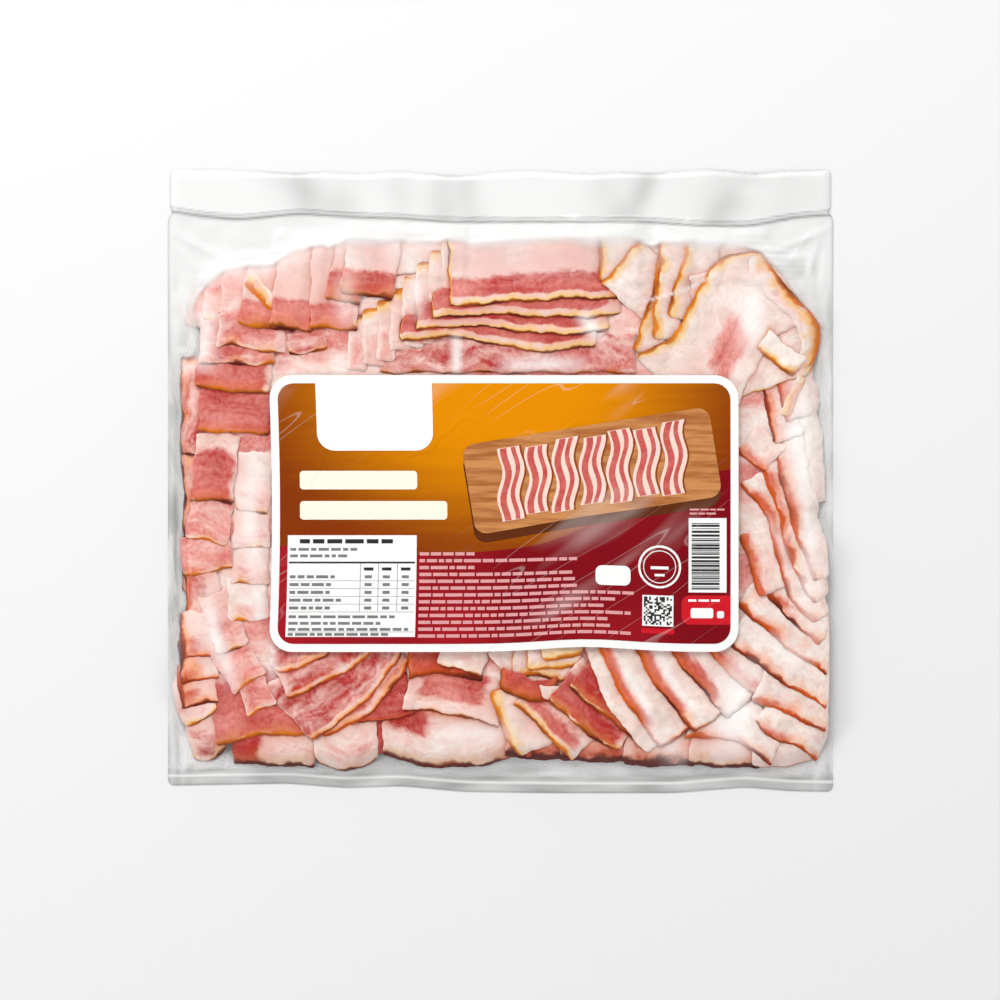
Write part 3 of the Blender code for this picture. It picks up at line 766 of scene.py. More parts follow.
def colour_rasher(mesh, piece, u, v, x, y, cover):
    """Stores what the rasher's material reads, for points u along and v into it."""
    look = piece.look
    rng = piece.rng
    across = piece.width - v
    ahead = piece.length - u
    within = lean_patch(piece, u, v)
    lean = toward(look.base, varied(rng, look.level, 0.06), within)
    cut_edge = np.minimum.reduce([across, u, ahead])
    # Painted highlight: the lean thins out near each cut edge, so the rim looks paler
    lean = lean - CUT_EDGE_HIGHLIGHT * (1 - smoothstep(0.1 * MM, 0.6 * MM, cut_edge))
    red = varied(rng, look.red, 0.12)
    blush = varied(rng, look.blush, 0.15)
    width = varied(rng, 1, 0.15)
    rinds = [along_edge(v, look.rind), along_edge(u, look.tip), along_edge(ahead, look.tail)]
    there = 1 - look.gaps * (1 + 1.7 * np.sin(2 * math.pi * u / GAP_EVERY + rng.uniform(0, 6)))
    share = np.minimum.reduce(rinds) / width / there.clip(0.05, 1.3)
    dark = varied(rng, look.dark, 0.12)
    # Painted shade where a rasher above lies close
    painted_shade = CONTACT_SHADE_DEPTH * np.exp(-cover / CONTACT_SHADE_REACH)
    painted_shade = painted_shade + SHADE_DEPTH * look.shade * np.exp(-cover / SHADE_REACH)
    # Painted glare of the film's shine over the rasher
    painted_glare = sum(crease(x, y, *streak) for streak in GLARES) / MM
    vector_attribute(mesh, "cut", u, v, piece.order * CUT_APART)
    vector_attribute(mesh, "meat", lean, red, blush)
    vector_attribute(mesh, "edge", share, dark, painted_shade)
    vector_attribute(mesh, "tone_and_glare", look.warm, look.glow, painted_glare.clip(0, 1))


def rasher_mesh(piece, pile):
    length = piece.length
    u, v = np.meshgrid(spaced(length), spaced(piece.width))
    ends = piece.end_waves(v) * (1 - 2 * u / length)
    along = rounded_corners(u, length, v, piece.width) + ends
    depth = rounded_corners(v, piece.width, u, length)
    x, y = piece.place(along, depth)
    cover = pile.gap_to_cover(x, y, piece.order)
    x = squeezed(x)
    low = pile.height(x, y, piece.order)
    high = pile.height(x, y, piece.order + 1)
    inside = np.minimum.reduce([v, piece.width - v, u, length - u])
    rim = 1 - smoothstep(0, RIM[-1], inside)
    ripple = piece.ripples(u + 0.6 * v) * smoothstep(0, 3 * MM, inside)
    top = np.stack([x, y, BACK_FILM + high - EDGE_DROP * (high - low) * rim + ripple], axis=-1)
    bottom = np.stack([x, y, BACK_FILM + low + 0.1 * (high - low)], axis=-1)
    mesh = slab_mesh("rasher", top, bottom)
    colour_rasher(mesh, piece, u, v, x, y, cover)
    return mesh


def joined(meshes, name):
    """One mesh of several that carry the same attributes."""
    whole = bmesh.new()
    for mesh in meshes:
        whole.from_mesh(mesh)
        bpy.data.meshes.remove(mesh)
    return mesh_from(name, whole)


def build_rashers(pile, material):
    pieces = []
    slices = iter(pile.slices)
    for number, fan in enumerate(FANS):
        meshes = [rasher_mesh(next(slices), pile) for _ in range(fan[1])]
        name = f"rashers_{number + 1:02d}"
        pieces.append(add_object(name, joined(meshes, name), material))
    return pieces


BED_CELL = 2.5 * MM


def build_bed(pile, material):
    """The rashers below, seen only in gaps and from behind."""
    left, near, right, far = (value * MM for value in BED_AREA)
    x, y = np.meshgrid(np.arange(left, right, BED_CELL), np.arange(near, far, BED_CELL))
    top = np.stack([x, y, BACK_FILM + packed(pile.sample(pile.bed, x, y), x, y)], axis=-1)
    bottom = np.stack([x, y, np.full_like(x, BACK_FILM - 0.05 * MM)], axis=-1)
    mesh = slab_mesh("bed", top, bottom)
    lean = 0.35 + 0.3 * np.sin(y / (6 * MM) + 2 * np.sin(x / (40 * MM)))
    vector_attribute(mesh, "cut", x, y, 0.0)
    vector_attribute(mesh, "meat", lean, 0.4, 0.5)
    vector_attribute(mesh, "edge", np.full_like(x, FAR_OFF), 0.0, 0.0)
    vector_attribute(mesh, "tone_and_glare", np.zeros_like(x), 0.0, 0.0)
    return add_object("rasher_bed", mesh, material)


# Film
FILM_OVER = 0.6 * MM
FILM_REACH = 1.0 * MM
FILM_EASE = 0.85 * MM
FLANGE = 0.5 * MM
BASE = 0.2 * MM  # height of the front film at the bag's edge
FILM_CELL = 1.0 * MM
SEAL_CELL = 0.7 * MM
BACK_CELL = 4.0 * MM
SEAL_ROWS = 0.86  # share of the bag's length above which the rows lie closer
LINE_EASE = 3 * MM  # how smoothly a line runs through its points
CRINKLE_WAVES = 7
NECK = 1.2 * MM  # how far the sides draw in where the header seal begins
HEADER_INSET = 0.8 * MM  # how much narrower the header is on each side
DOUBLE_LINE = 1.7 * MM  # from one pressed line of a seal to the next
LOW_SEAL = 3.9 * MM  # height of the near seal
LEFT_SHADE_LINE = -129.6 * MM

# How milky and how grey the film is in its places
HAZE_HIGHLIGHT_MILK, HAZE_GREY = 0.93, 0.2
HEADER_MILK, HEADER_GREY = 0.86, 0.04
LOW_SEAL_MILK, LOW_SEAL_GREY = 0.7, 0.5
LEFT_SHADE_MILK, LEFT_SHADE_GREY = 0.75, 0.5
GROOVE_MILK, GROOVE_GREY = 0.65, 0.25
SHADED_MILK, SHADED_GREY = 0.2, 0.2
BACK_MILK, BACK_GREY = 0.02, 0.2
WELD_HIGHLIGHT_MILK = 0.9
FOLD_SHADE_GREY = 0.58
LINE_GREY = 0.75
RIM_GREY = 0.4

# Edges as (x, y) in mm, drawn through smoothly
FAR_EDGE = [
    (-130, 124.3), (-118, 125), (-100, 124.3), (-82, 123.3), (-70, 124), (-58, 123.2),
    (-40, 124.2), (-18, 122.3), (0, 124), (12, 124.6), (35, 123), (50, 124), (60, 123.2),
    (75, 124.5), (85, 125), (101, 123.2), (115, 124.6), (132, 124.6),
]
NEAR_EDGE = [
    (-130, -121.8), (-85, -121), (-62, -122.8), (-40, -122), (-15, -124.3), (20, -124.8),
    (70, -124.8), (98, -122.5), (115, -124), (130, -124.3),
]
SEAL_EDGE = [
    (-132, 108), (-120, 106), (-105, 104.5), (-90, 106), (-80, 107), (-60, 105.5), (-40, 105),
    (-20, 103.6), (20, 103.6), (60, 103.5), (80, 102), (100, 102), (118, 105.5), (132, 106.5),
]
# Where the milky haze under the header begins, partly a painted highlight of the sloping film
HAZE_EDGE = [
    (-132, 73), (-118, 78), (-104, 84), (-85, 89), (-60, 90), (40, 91), (60, 91), (75, 88),
    (85, 86), (105, 91), (115, 87), (132, 79),
]
HAZE_DEPTH = 11 * MM
# Soft folds across the header, with painted shade: where at its far and its near side, half width, depth
HEADER_BANDS = [
    (-86, -74, 10, 0.6), (-62, -62, 9, 0.3), (-40, -40, 7, 0.2), (-22, -18, 10, 0.45),
    (-8, -19, 5, 0.3), (46, 46, 11, 0.35), (63, 51, 6, 0.5), (85, 84, 12, 0.2),
    (103, 90, 7, 0.55), (118, 116, 11, 0.25),
]
# Creases of the film: from and to in mm, half width and height in mm
CREASES = [
    (-131, 101, -103, 84, 1.6, 0.9),
    (-131, 95, -119, 78, 1.2, 0.6),
    (-132, 60, -128, -10, 0.9, 0.7),
    (-132, -30, -129, -100, 0.9, 0.6),
    (132, 103, 108, 90, 1.5, 0.7),
    (127, 99, 120, 76, 0.9, 0.6),
    (131, 95, 125, 68, 0.9, 0.6),
    (123, 101, 115, 84, 0.8, 0.4),
    (131, 60, 129, -20, 1.1, 0.9),
    (131, -119, 112, -107, 1.0, 0.8),
    (132, -110, 118, -104, 0.9, 0.6),
    (-131, -119, -112, -108, 1.2, 0.8),
    (49, 69, 108, 92, 0.7, 0.3),
    (-8, 71.5, 12, 79, 0.7, 0.3),
]


class Line:
    """A smooth line through a few points, as y for each x."""

    def __init__(self, points):
        places = np.array(points) * MM
        self.x = field_places(BAG_WIDTH)
        y = np.interp(self.x, places[:, 0], places[:, 1])
        self.y = blurred(y[None, :].repeat(3, axis=0), LINE_EASE)[1]

    def __call__(self, x):
        return np.interp(x, self.x, self.y)


def crinkles(x, y, seed, wavelength):
    """Small random waves in all directions, from -1 to 1 or so."""
    rng = random.Random(seed)
    total = np.zeros_like(x)
    for _ in range(CRINKLE_WAVES):
        angle = rng.uniform(0, math.pi)
        turns = 2 * math.pi / (wavelength * rng.uniform(0.6, 1.6))
        phase = rng.uniform(0, 2 * math.pi)
        bend = rng.uniform(-1, 1) * wavelength * 0.3
        across = x * math.cos(angle) + y * math.sin(angle)
        along = y * math.cos(angle) - x * math.sin(angle)
        total += np.sin(turns * (across + bend * np.sin(along * turns * 0.4)) + phase)
    return total / math.sqrt(CRINKLE_WAVES)


def bag_plan(s, t, far_edge, near_edge):
    """Where the points at shares s across and t up the bag lie in plan."""
    x = (s - 0.5) * BAG_WIDTH
    far = far_edge(x)
    near = near_edge(x)
    y = near + t * (far - near)
    header = BAG_LENGTH / 2 - HEADER_SEAL
    neck = NECK * bell(y, header, 1.6 * MM)
    half = BAG_WIDTH / 2 - HEADER_INSET * smoothstep(header - 1 * MM, header + 1 * MM, y) - neck
    x = (2 * s - 1) * half
    corner_x = (np.abs(x) - (half - CORNER)).clip(0) / CORNER
    corner_y = np.maximum(CORNER - (y - near), CORNER - (far - y)).clip(0) / CORNER
    x = x - np.sign(x) * CORNER * corner_x * (1 - np.sqrt(1 - corner_y**2 / 2))
    y = y - np.sign(y) * CORNER * corner_y * (1 - np.sqrt(1 - corner_x**2 / 2))
    return x, y


def header_folds(x, y):
    """Depth of the header's soft folds, which also sets their painted shade."""
    down = (BAG_LENGTH / 2 - y) / HEADER_SEAL
    depths = np.zeros_like(x)
    for far, near, half_width, depth in HEADER_BANDS:
        place = (far + (near - far) * down) * MM
        depths += depth * bell(x, place, half_width * MM)
    return depths


def colour_film(mesh, x, y, edge, near, full, farness, band, fold, line):
    """Stores where the film is milky, greyish and dull."""
    loose = (1 - full) * (1 - band)
    cloud = crinkles(x, y, 21, 30 * MM)
    side = smoothstep(118 * MM, 126 * MM, np.abs(x))
    upright = crinkles(3 * x, 0.3 * y, 12, 12 * MM)
    level = crinkles(0.3 * x, 3 * y, 15, 12 * MM)
    streaks = side * upright + (1 - side) * level
    milk = loose * (0.34 + 0.45 * farness + 0.08 * cloud + 0.14 * (1 - farness) * streaks)
    # Milky haze along the far edge, partly a painted highlight where the film slopes down
    haze_from = Line(HAZE_EDGE)(x) + 1.5 * MM * crinkles(x, y, 3, 40 * MM)
    haze = smoothstep(haze_from, haze_from + HAZE_DEPTH, y)
    milk = toward(milk, HAZE_HIGHLIGHT_MILK, haze)
    milk = toward(milk, HEADER_MILK, band)
    weld_place = near + LOW_SEAL
    low_seal = 1 - smoothstep(weld_place - 0.8 * MM, weld_place, y)
    milk = toward(milk, LOW_SEAL_MILK, low_seal * (1 - full))
    # Painted highlight: a milky white line along the near seal, where grey is taken out
    weld_highlight = bell(y, weld_place, 0.5 * MM) * (1 - full)
    milk = toward(milk, WELD_HIGHLIGHT_MILK, weld_highlight)
    # Painted shade: a soft grey streak in the film beside the pile's left side
    left = bell(x, LEFT_SHADE_LINE, 1.7 * MM) * smoothstep(-95 * MM, -40 * MM, y)
    left = left * (1 - smoothstep(25 * MM, 70 * MM, y))
    milk = toward(milk, LEFT_SHADE_MILK, left * (0.8 + 0.2 * cloud).clip(0, 1))
    groove = bell(y - weld_place, DOUBLE_LINE, 1.1 * MM) * (1 - full)
    milk = toward(milk, GROOVE_MILK, groove)
    shaded = smoothstep(82 * MM, 89 * MM, y) * full * (1 - haze) * smoothstep(-125 * MM, -100 * MM, x)
    milk = milk + (SHADED_MILK - milk).clip(0) * shaded

    nearness = 1 - smoothstep(10 * MM, 80 * MM, y)
    grey = loose * (1 - haze) * (1 - low_seal) * (0.06 + 0.3 * nearness + 0.1 * cloud + 0.18 * streaks)
    grey = grey + low_seal * (LOW_SEAL_GREY + 0.12 * cloud + 0.1 * streaks)
    grey = grey + HAZE_GREY * haze * (1 - band) + LEFT_SHADE_GREY * left
    # Painted shade in the header's folds
    fold_shade = FOLD_SHADE_GREY * fold * (0.8 + 0.25 * crinkles(x, y, 4, 25 * MM))
    grey = grey + band * (HEADER_GREY + fold_shade) + LINE_GREY * line
    grey = grey * (1 - weld_highlight) + RIM_GREY * np.exp(-edge / (0.35 * MM))
    grey = grey + GROOVE_GREY * groove + SHADED_GREY * shaded
    dull = smoothstep(80 * MM, 88 * MM, y) * (1 - band)
    vector_attribute(mesh, "milk", milk.clip(0, 1), grey.clip(0, 1), dull)


def build_front(pile, far_edge, near_edge, seal_edge, material):
    """The film over the pack: it follows the rashers, the seals and the label."""
    columns = int(BAG_WIDTH / FILM_CELL)
    low_rows = np.arange(0, SEAL_ROWS, FILM_CELL / BAG_LENGTH)
    high_rows = np.linspace(SEAL_ROWS, 1, int((1 - SEAL_ROWS) * BAG_LENGTH / SEAL_CELL))
    s, t = np.meshgrid(np.linspace(0, 1, columns + 1), np.concatenate([low_rows, high_rows[1:]]))
    x, y = bag_plan(s, t, far_edge, near_edge)
    near = near_edge(x)
    edge = np.minimum.reduce([s * BAG_WIDTH, (1 - s) * BAG_WIDTH, y - near, far_edge(x) - y])
    edge = edge.clip(0)
    over = pile.sample(blurred(widened(pile.top, FILM_REACH), FILM_EASE), x, y)
    z = FLANGE + over + (FILM_OVER - BASE) * smoothstep(0.3 * MM, 3.5 * MM, over)
    farness = smoothstep(50 * MM, 85 * MM, y)
    rise = pile.sample(pile.top, x, y) / MM
    full = smoothstep(0.2 + 4 * farness, 1.6 + 6 * farness, rise)
    tented = 1 - smoothstep(0, LABEL_EASE, label_outside(x, y))
    z = toward(z, label_ground(x, y), tented)

    seal = seal_edge(x)
    band = smoothstep(seal - 0.5 * MM, seal + 1.5 * MM, y)
    fold = header_folds(x, y)
    lift = band * smoothstep(0, 3 * MM, edge) * (1.0 * MM - 0.6 * MM * fold)
    line = bell(y, seal, 0.5 * MM) + 0.6 * bell(y - seal, DOUBLE_LINE, 0.4 * MM)
    creases = sum(crease(x, y, *row) for row in CREASES)
    ripple = 0.22 * MM * (1 - full) * (1 - band) * crinkles(x, y, 5, 15 * MM)
    ripple += 0.05 * MM * full * (1 - tented) * crinkles(x, y, 8, 9 * MM)
    z = z + lift + 0.4 * MM * line + creases * (1 - tented) + ripple * smoothstep(0, 4 * MM, edge)
    z = BASE + (z - BASE) * smoothstep(-0.3 * MM, 1.0 * MM, edge)
    mesh = mesh_of("film_front", np.stack([x, y, z], axis=-1), grid_faces(len(x), columns + 1))
    colour_film(mesh, x, y, edge, near, full, farness, band, fold, line)
    return add_object("film_front", mesh, material)


def build_back(far_edge, near_edge, seal_edge, material):
    """The flat film below the pack."""
    steps = int(BAG_WIDTH / BACK_CELL)
    s, t = np.meshgrid(np.linspace(0, 1, steps + 1), np.linspace(0, 1, steps + 1))
    x, y = bag_plan(s, t, far_edge, near_edge)
    sealed = smoothstep(seal_edge(x) - 2 * MM, seal_edge(x) + 3 * MM, y)
    z = 0.1 * MM + 0.6 * MM * sealed * np.minimum(s, 1 - s).clip(0, 0.04) / 0.04
    faces = grid_faces(steps + 1, steps + 1, turned=True)
    mesh = mesh_of("film_back", np.stack([x, y, z], axis=-1), faces)
    vector_attribute(mesh, "milk", BACK_MILK + 0.3 * sealed, BACK_GREY, 0.0)
    return add_object("film_back", mesh, material)


def build_film(pile, material):
    edges = (Line(FAR_EDGE), Line(NEAR_EDGE), Line(SEAL_EDGE))
    return [build_front(pile, *edges, material), build_back(*edges, material)]


# Printed label
AMBER = srgb(228, 140, 0)
AMBER_DARK = srgb(136, 54, 10)
MAROON = srgb(166, 26, 36)
MAROON_DARK = srgb(126, 12, 24)
PAPER = srgb(250, 250, 248)
INK = srgb(52, 50, 50)
GREY_INK = srgb(128, 126, 126)
CREAM = srgb(252, 244, 226)
FINE_PRINT = srgb(226, 160, 162)
BADGE = srgb(208, 30, 44)
BOARD = srgb(206, 142, 86)
BOARD_GRAIN = srgb(166, 98, 52)
BOARD_EDGE = srgb(96, 46, 20)
STRIP_FAT = srgb(246, 216, 202)
STRIP_LEAN = srgb(176, 40, 40)
STRIP_PALE = srgb(226, 128, 118)
STRIP_RIND = srgb(150, 62, 26)
PRINT_CELL = 8 * MM

# Places on the label in mm, a box as (left, low, right, high)
PANEL = (-89, -64.8, 91.4, 38.8)
PANEL_CORNER = 6.5
TAB = (-73.8, 12, -27.4, 38.8)
TAB_CORNER = 7
TITLES = [(-81, -3.4, -34, 4.0), (-81, -15.4, -22, -8.0)]
TABLE = (-85.8, -62, -34.2, -21.6)
CODE_GROUND = (74.6, -44.4, 89.8, -14.8)
CODE_BARS = (75.8, -43.2, 87.0, -16.2)
MOSAIC_GROUND = (56.2, -58.2, 68.6, -45.8)
MOSAIC = (56.8, -57.6, 68.0, -46.4)
MOSAIC_CELLS = 16
RING_CENTRE = (63, -34.4)


def label_face(x, y):
    return label_ground(x, y) + LABEL_GAP + LABEL_THICKNESS


def box(left, low, right, high):
    return [(left, low), (right, low), (right, high), (left, high)]


def arc(cx, cy, radius, start, end, steps=6):
    for i in range(steps + 1):
        angle = math.radians(start + (end - start) * i / steps)
        yield (cx + radius * math.cos(angle), cy + radius * math.sin(angle))


def rounded(left, low, right, high, radius, steps=6):
    """A rectangle with round corners."""
    points = list(arc(right - radius, low + radius, radius, -90, 0, steps))
    points += arc(right - radius, high - radius, radius, 0, 90, steps)
    points += arc(left + radius, high - radius, radius, 90, 180, steps)
    points += arc(left + radius, low + radius, radius, 180, 270, steps)
    return points


def low_corners(left, low, right, radius):
    """The two round corners at the lower side of a shape."""
    corner = list(arc(left + radius, low + radius, radius, 180, 270))
    return corner + list(arc(right - radius, low + radius, radius, 270, 360))


def ring(cx, cy, radius, width):
    """A ring as a run of small quads."""
    steps = 44
    outer = list(arc(cx, cy, radius, 0, 360, steps))
    inner = list(arc(cx, cy, radius - width, 0, 360, steps))
    return [[inner[i], outer[i], outer[i + 1], inner[i + 1]] for i in range(steps)]


def cut_shapes(outlines):
    """The outlines, in mm, as faces cut along a grid so that they can follow a curve."""
    shapes = bmesh.new()
    for outline in outlines:
        shapes.faces.new([shapes.verts.new((px * MM, py * MM, 0)) for px, py in outline])
    bmesh.ops.triangulate(shapes, faces=shapes.faces)
    for axis, normal in ((0, (1, 0, 0)), (1, (0, 1, 0))):
        values = [vertex.co[axis] for vertex in shapes.verts]
        cut = math.ceil(min(values) / PRINT_CELL) * PRINT_CELL
        while cut < max(values):
            everything = shapes.verts[:] + shapes.edges[:] + shapes.faces[:]
            bmesh.ops.bisect_plane(shapes, geom=everything, plane_co=(cut, cut, 0), plane_no=normal)
            cut += PRINT_CELL
    for face in shapes.faces:
        if face.normal.z < 0:
            face.normal_flip()
    return shapes


def bent(vertex):
    """Moves a point of the label in plan: its left and near sides bend in a little."""
    u, v = label_shares(vertex.co.x, vertex.co.y)
    hump = bell(vertex.co.x, 34 * MM, 24 * MM)
    vertex.co.x += 1.4 * MM * (1 - u) / 2 * (1 - v * v)
    vertex.co.y += 2.0 * MM * hump * ((1 - v) / 2) ** 2


def on_label(name, outlines, layer, ink, colour):
    """Flat printed shapes that follow the label's face, each layer a step higher."""
    shapes = cut_shapes(outlines)
    for vertex in shapes.verts:
        bent(vertex)
        vertex.co.z = float(label_face(vertex.co.x, vertex.co.y)) + layer * PRINT_STEP
    return add_object(name, mesh_from(name, shapes), print_material(ink, colour))


def build_sticker(material):
    """The label's own sheet, with its thickness."""
    reach = (LABEL_WIDTH / 2, LABEL_HEIGHT / 2)
    low = [(middle - half) / MM for middle, half in zip(LABEL_CENTRE, reach)]
    high = [(middle + half) / MM for middle, half in zip(LABEL_CENTRE, reach)]
    outline = rounded(*low, *high, LABEL_CORNER / MM, 12)
    shapes = cut_shapes([outline])
    made = bmesh.ops.extrude_face_region(shapes, geom=shapes.faces[:])
    lower = [item for item in made["geom"] if isinstance(item, bmesh.types.BMVert)]
    upper = set(shapes.verts) - set(lower)
    for vertex in shapes.verts:
        bent(vertex)
    for vertex in lower:
        vertex.co.z = float(label_ground(vertex.co.x, vertex.co.y)) + LABEL_GAP
    for vertex in upper:
        vertex.co.z = float(label_face(vertex.co.x, vertex.co.y))
    bmesh.ops.recalc_face_normals(shapes, faces=shapes.faces)
    mesh = mesh_from("sticker", shapes)
    made = add_object("sticker", mesh, material)
    mesh.set_sharp_from_angle(angle=math.radians(40))
    return made


def word_bars(rng, left, right, y, height, word=(1.6, 5.0), gap=0.9):
    """A line of plain bars of uneven length."""
    bars = []
    x = left
    while x < right - word[0]:
        end = min(x + rng.uniform(*word), right)
        bars.append(box(x, y - height / 2, end, y + height / 2))
        x = end + gap
    return bars


def maroon_edge(x):
    """Where the amber field meets the dark red one."""
    return -27.5 + 2 * math.sin(x / 22) + 34 * smoothstep(8, 96, x)


def build_fields():
    """The label's ground: amber above, dark red below."""

    def amber_ground(g, place):
        away = g.vector("SUBTRACT", place, (0.0, 38 * MM, 0.0))
        away = g.vector("MULTIPLY", away, (1 / (88 * MM), 1 / (62 * MM), 0.0))
        distance = g.node("VectorMath", {0: away}, 1, operation="LENGTH")
        far = g.scaled(g.noise(g.stretched(place, 0.06, 1.0), 380, 2), 0.16, distance)
        return g.blend(g.step(far, 0.38, 1.3), AMBER, AMBER_DARK)

    def maroon_ground(g, place):
        return g.blend(g.step(g.noise(place, 16, 2), 0.3, 0.72), MAROON, MAROON_DARK)

    left, low, right, _ = PANEL
    steps = 30
    edge = [right + (left - right) * i / steps for i in range(steps + 1)]
    border = low_corners(left, low, right, PANEL_CORNER) + [(x, maroon_edge(x)) for x in edge]
    return [
        on_label("print_panel", [rounded(*PANEL, PANEL_CORNER)], 1, "print_amber", amber_ground),
        on_label("print_field", [border], 2, "print_maroon", maroon_ground),
    ]


def build_grounds():
    """White and cream shapes: the tab, the title bars, the table and the codes' grounds."""
    left, low, right, high = TAB
    tab = [(left, high), (left, low + TAB_CORNER)]
    tab += low_corners(left, low, right, TAB_CORNER) + [(right, high)]
    whites = [tab, box(*TABLE), box(*CODE_GROUND), box(*MOSAIC_GROUND)]
    whites += [rounded(37.4, -42.4, 51.4, -34.4, 2.5)]
    whites += ring(*RING_CENTRE, 8.6, 0.9) + ring(*RING_CENTRE, 6.6, 0.35)
    whites += [box(59.4, -35.4, 66.6, -34.2), box(61, -38.2, 65, -37.2)]
    creams = [rounded(*title, 1.4) for title in TITLES]
    return [
        on_label("print_whites", whites, 4, "print_white", PAPER),
        on_label("print_title", creams, 4, "print_cream", CREAM),
    ]


TABLE_COLUMNS = (-56.6, -49.4, -41.8)
TABLE_ROWS = [-38.1, -41.2, -44.3, -47.4, -50.5]
TABLE_LEFT = -84.8


def rule(low, high):
    """A line across the table."""
    return box(-85.2, low, -34.8, high)


def build_table():
    """Rules and rows of bars in the white table."""
    rng = random.Random(31)
    dark = word_bars(rng, -81, -39, -24.0, 1.7, (4, 9), 1.2) + [rule(-32.8, -32.1)]
    light = word_bars(rng, TABLE_LEFT, -58, -27.2, 1.1) + word_bars(rng, TABLE_LEFT, -62, -29.8, 1.1)
    for x in TABLE_COLUMNS:
        dark.append(box(x + 1.4, -35.6, x + 5.2, -34.4))
        light.append(box(x - 0.1, -51.8, x + 0.1, -32.8))
    for y in TABLE_ROWS:
        light += word_bars(rng, TABLE_LEFT, rng.uniform(-70, -62), y, 1.2)
        light += [box(x + 1.8, y - 0.6, x + 4.6, y + 0.6) for x in TABLE_COLUMNS]
        light.append(rule(y - 1.65, y - 1.5))
    for y, right in ((-54.0, -42), (-56.6, -46), (-59.0, -37), (-61.0, -45)):
        light += word_bars(rng, TABLE_LEFT, right, y, 1.1)
    light.append(rule(-60.1, -59.95))
    return [
        on_label("print_table", dark, 5, "print_ink", INK),
        on_label("print_lines", light, 5, "print_grey", GREY_INK),
    ]


FINE_LEFT = -33
FINE_TOP = -29
FINE_STEP = 2.72
FINE_LINES = 13
SHORT_LINES = (0, 2)
LINES_BESIDE_RING = 6
BADGE_BOX = (71.8, -57.2, 91.4, -45.6)
BADGE_CORNER = 3.2


def fine_lines(rng):
    """Greyed lines of bars beside the table and over the bar code."""
    lines = []
    for i in range(FINE_LINES):
        right = FINE_LEFT + (22 if i in SHORT_LINES else rng.uniform(70, 86))
        if i < LINES_BESIDE_RING:
            right = min(right, 30)
        lines += word_bars(rng, FINE_LEFT, right, FINE_TOP - i * FINE_STEP, 1.3, (2.0, 7.0), 0.7)
    for right, y in ((89, -11.4), (86, -13)):
        lines += word_bars(rng, 75, right, y, 0.7, (2, 4), 0.5)
    return lines


def bar_code(rng):
    """Bars of uneven width across the code's ground."""
    left, low, right, high = CODE_BARS
    bars = []
    y = low
    while y < high - 0.5:
        top = y + rng.choice((0.3, 0.3, 0.6, 0.9))
        bars.append(box(left, y, right, min(top, high)))
        y = top + rng.choice((0.3, 0.3, 0.6))
    return bars


def square_code(rng):
    """Small squares in a random pattern."""
    left, low, right, _ = MOSAIC
    cell = (right - left) / MOSAIC_CELLS
    squares = []
    for i in range(MOSAIC_CELLS):
        for j in range(MOSAIC_CELLS):
            if rng.random() < 0.5:
                x = left + i * cell
                y = low + j * cell
                squares.append(box(x, y, x + cell, y + cell))
    return squares


def build_small_print():
    """The small print, the two codes and the red badge."""
    rng = random.Random(47)
    lines = fine_lines(rng)
    bars = bar_code(rng) + square_code(rng)
    left, low, right, high = BADGE_BOX
    r = BADGE_CORNER
    badge = list(arc(left + r, high - r, r, 90, 180)) + list(arc(left + r, low + r, r, 180, 270))
    badges = [badge + [(right, low), (right, high)], rounded(55.8, -61.2, 69, -59.2, 0.8)]
    marks = word_bars(rng, 74.5, 88.5, -47.6, 0.9, (2, 5), 0.8)
    marks += [rounded(75.5, -54.6, 84.5, -50.6, 0.9), rounded(86, -54.6, 88.8, -51.8, 0.8)]
    return [
        on_label("print_fine", lines, 3, "print_fine", FINE_PRINT),
        on_label("print_codes", bars, 5, "print_codes", INK),
        on_label("print_badge", badges, 3, "print_badge", BADGE),
        on_label("print_badge_bars", marks, 4, "print_badge_bars", PAPER),
    ]


BOARD_TURN = math.radians(9)
BOARD_CENTRE = (36, 4)
BOARD_HALF = (50, 18)
BOARD_THICKNESS = 3.6
STRIPS = 7
STRIP_STEP = 11


def on_board(points, drop=0.0):
    """Points laid out square to the board, turned with it."""
    cx, cy = BOARD_CENTRE
    c = math.cos(BOARD_TURN)
    s = math.sin(BOARD_TURN)
    return [(cx + px * c - py * s, cy + px * s + py * c - drop) for px, py in points]


def ribbon(centre, reach, low, high, phase):
    """A wavy upright strip that reaches from low to high beside its centre line."""
    steps = 12
    sides = []
    for i in range(steps + 1):
        y = -reach + 2 * reach * i / steps
        x = centre + 0.16 * y + 1.1 * math.sin(y / 3.1 + phase)
        sides.append((x, y))
    left = [(x + low, y) for x, y in sides]
    right = [(x + high, y) for x, y in sides]
    return [on_board([left[i], right[i], right[i + 1], left[i + 1]]) for i in range(steps)]


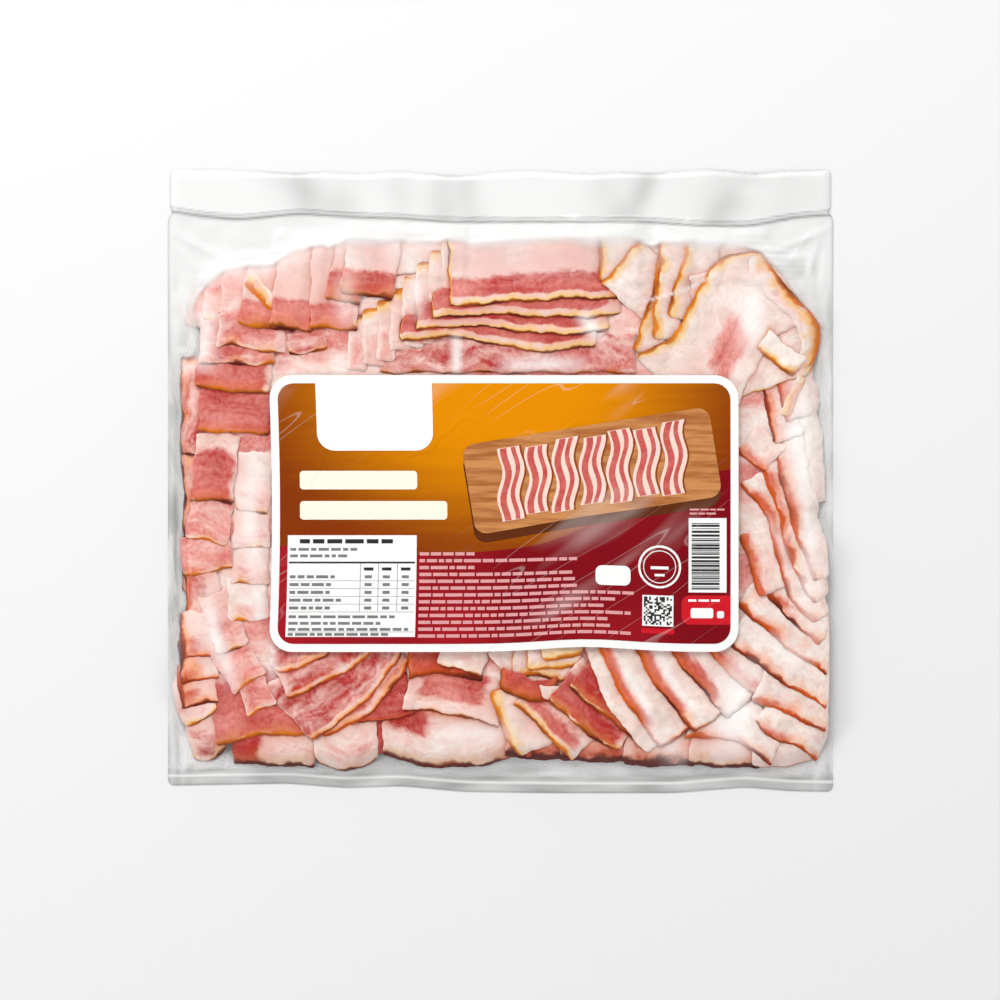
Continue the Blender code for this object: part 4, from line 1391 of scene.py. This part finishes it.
def build_picture():
    """A plain picture: a wooden board with a row of upright wavy rashers."""

    def wood_ground(g, place):
        grain = g.noise(g.stretched(place, 0.12, 1.0), 420, 3)
        return g.blend(g.step(grain, 0.35, 0.7), BOARD, BOARD_GRAIN)

    def lean_ground(g, place):
        return g.blend(g.noise(place, 320, 3), STRIP_LEAN, STRIP_PALE)

    half_x, half_y = BOARD_HALF
    board = rounded(-half_x, -half_y, half_x, half_y, 5)
    side = [on_board(board, drop=BOARD_THICKNESS)]
    fats = []
    leans = []
    rinds = []
    for i in range(STRIPS):
        centre = (i - STRIPS // 2) * STRIP_STEP
        reach = 14.5 - 1.2 * (i % 2)
        phase = i * 1.3
        fats += ribbon(centre, reach, -4.4, 4.6, phase)
        leans += ribbon(centre, reach - 0.2, -3.2, -0.6, phase + 0.3)
        leans += ribbon(centre, reach - 0.2, 1.0, 2.8, phase - 0.3)
        rinds += ribbon(centre, reach, 4.6, 5.3, phase)
    return [
        on_label("picture_edge", side, 3, "picture_edge", BOARD_EDGE),
        on_label("picture_board", [on_board(board)], 4, "picture_wood", wood_ground),
        on_label("picture_fat", fats, 5, "picture_fat", STRIP_FAT),
        on_label("picture_lean", leans, 6, "picture_lean", lean_ground),
        on_label("picture_rind", rinds, 6, "picture_rind", STRIP_RIND),
    ]


# Studio
FLOOR_GREY = 0.845
FLOOR_REACH = 3.0


def build_world():
    """Soft light that is brighter from the sides than from above."""
    world = bpy.data.worlds.new("studio")
    world.use_nodes = True
    tree = world.node_tree
    place = tree.nodes.new("ShaderNodeTexCoord")
    parts = tree.nodes.new("ShaderNodeSeparateXYZ")
    ramp = tree.nodes.new("ShaderNodeMapRange")
    for key, value in (("From Min", 0.35), ("From Max", 0.9), ("To Min", 0.79), ("To Max", 0.28)):
        ramp.inputs[key].default_value = value
    tree.links.new(place.outputs["Generated"], parts.inputs[0])
    tree.links.new(parts.outputs["Z"], ramp.inputs["Value"])
    tree.links.new(ramp.outputs[0], tree.nodes["Background"].inputs["Strength"])
    tree.nodes["Background"].inputs["Color"].default_value = (1, 1, 1, 1)
    bpy.context.scene.world = world


def build_studio():
    """The white floor, the soft light and three lamps."""
    corners = [(-1, -1, 0), (1, -1, 0), (1, 1, 0), (-1, 1, 0)]
    mesh = mesh_of("floor", FLOOR_REACH * np.array(corners), np.array([(0, 1, 2, 3)]))
    g = Graph("floor")
    colour = (FLOOR_GREY, FLOOR_GREY, FLOOR_GREY, 1)
    paper = g.node("BsdfPrincipled", {"Base Color": colour, "Roughness": 0.9, "Specular IOR Level": 0.1})
    add_object("floor", mesh, g.finish(paper))
    build_world()
    for name, place, size, power in (
        ("key", (-0.25, 1.1, 1.05), 0.8, 14),
        ("fill", (1.1, -0.3, 1.1), 0.8, 3.3),
        ("left", (-1.2, -0.2, 0.9), 0.5, 5.4),
    ):
        lamp = bpy.data.lights.new(name, "AREA")
        lamp.size = size
        lamp.energy = power
        made = bpy.data.objects.new(name, lamp)
        made.location = place
        made.rotation_euler = (-made.location).to_track_quat("-Z", "Y").to_euler()
        bpy.context.scene.collection.objects.link(made)
    bpy.context.scene.view_settings.view_transform = "Standard"


VIEW_WIDTH = 0.4
CAMERA_HEIGHT = 1.6
SENSOR = 36.0


def build_camera():
    lens = bpy.data.cameras.new("camera")
    lens.sensor_width = SENSOR
    lens.lens = SENSOR * CAMERA_HEIGHT / VIEW_WIDTH
    camera = bpy.data.objects.new("camera", lens)
    camera.location = (-0.2 * MM, -7.6 * MM, CAMERA_HEIGHT)
    bpy.context.scene.collection.objects.link(camera)
    bpy.context.scene.camera = camera


build_camera()
build_studio()
pile = Pile()
bacon = bacon_material()
contents = build_rashers(pile, bacon)
contents.append(build_bed(pile, bacon))
contents += build_film(pile, film_material())
for piece in contents:
    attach(piece, "root")
    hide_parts("bag")
sticker = build_sticker(print_material("sticker", PAPER))
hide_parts("label")
prints = build_fields() + build_grounds() + build_table() + build_small_print() + build_picture()
for piece in [sticker] + prints:
    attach(piece, "root")
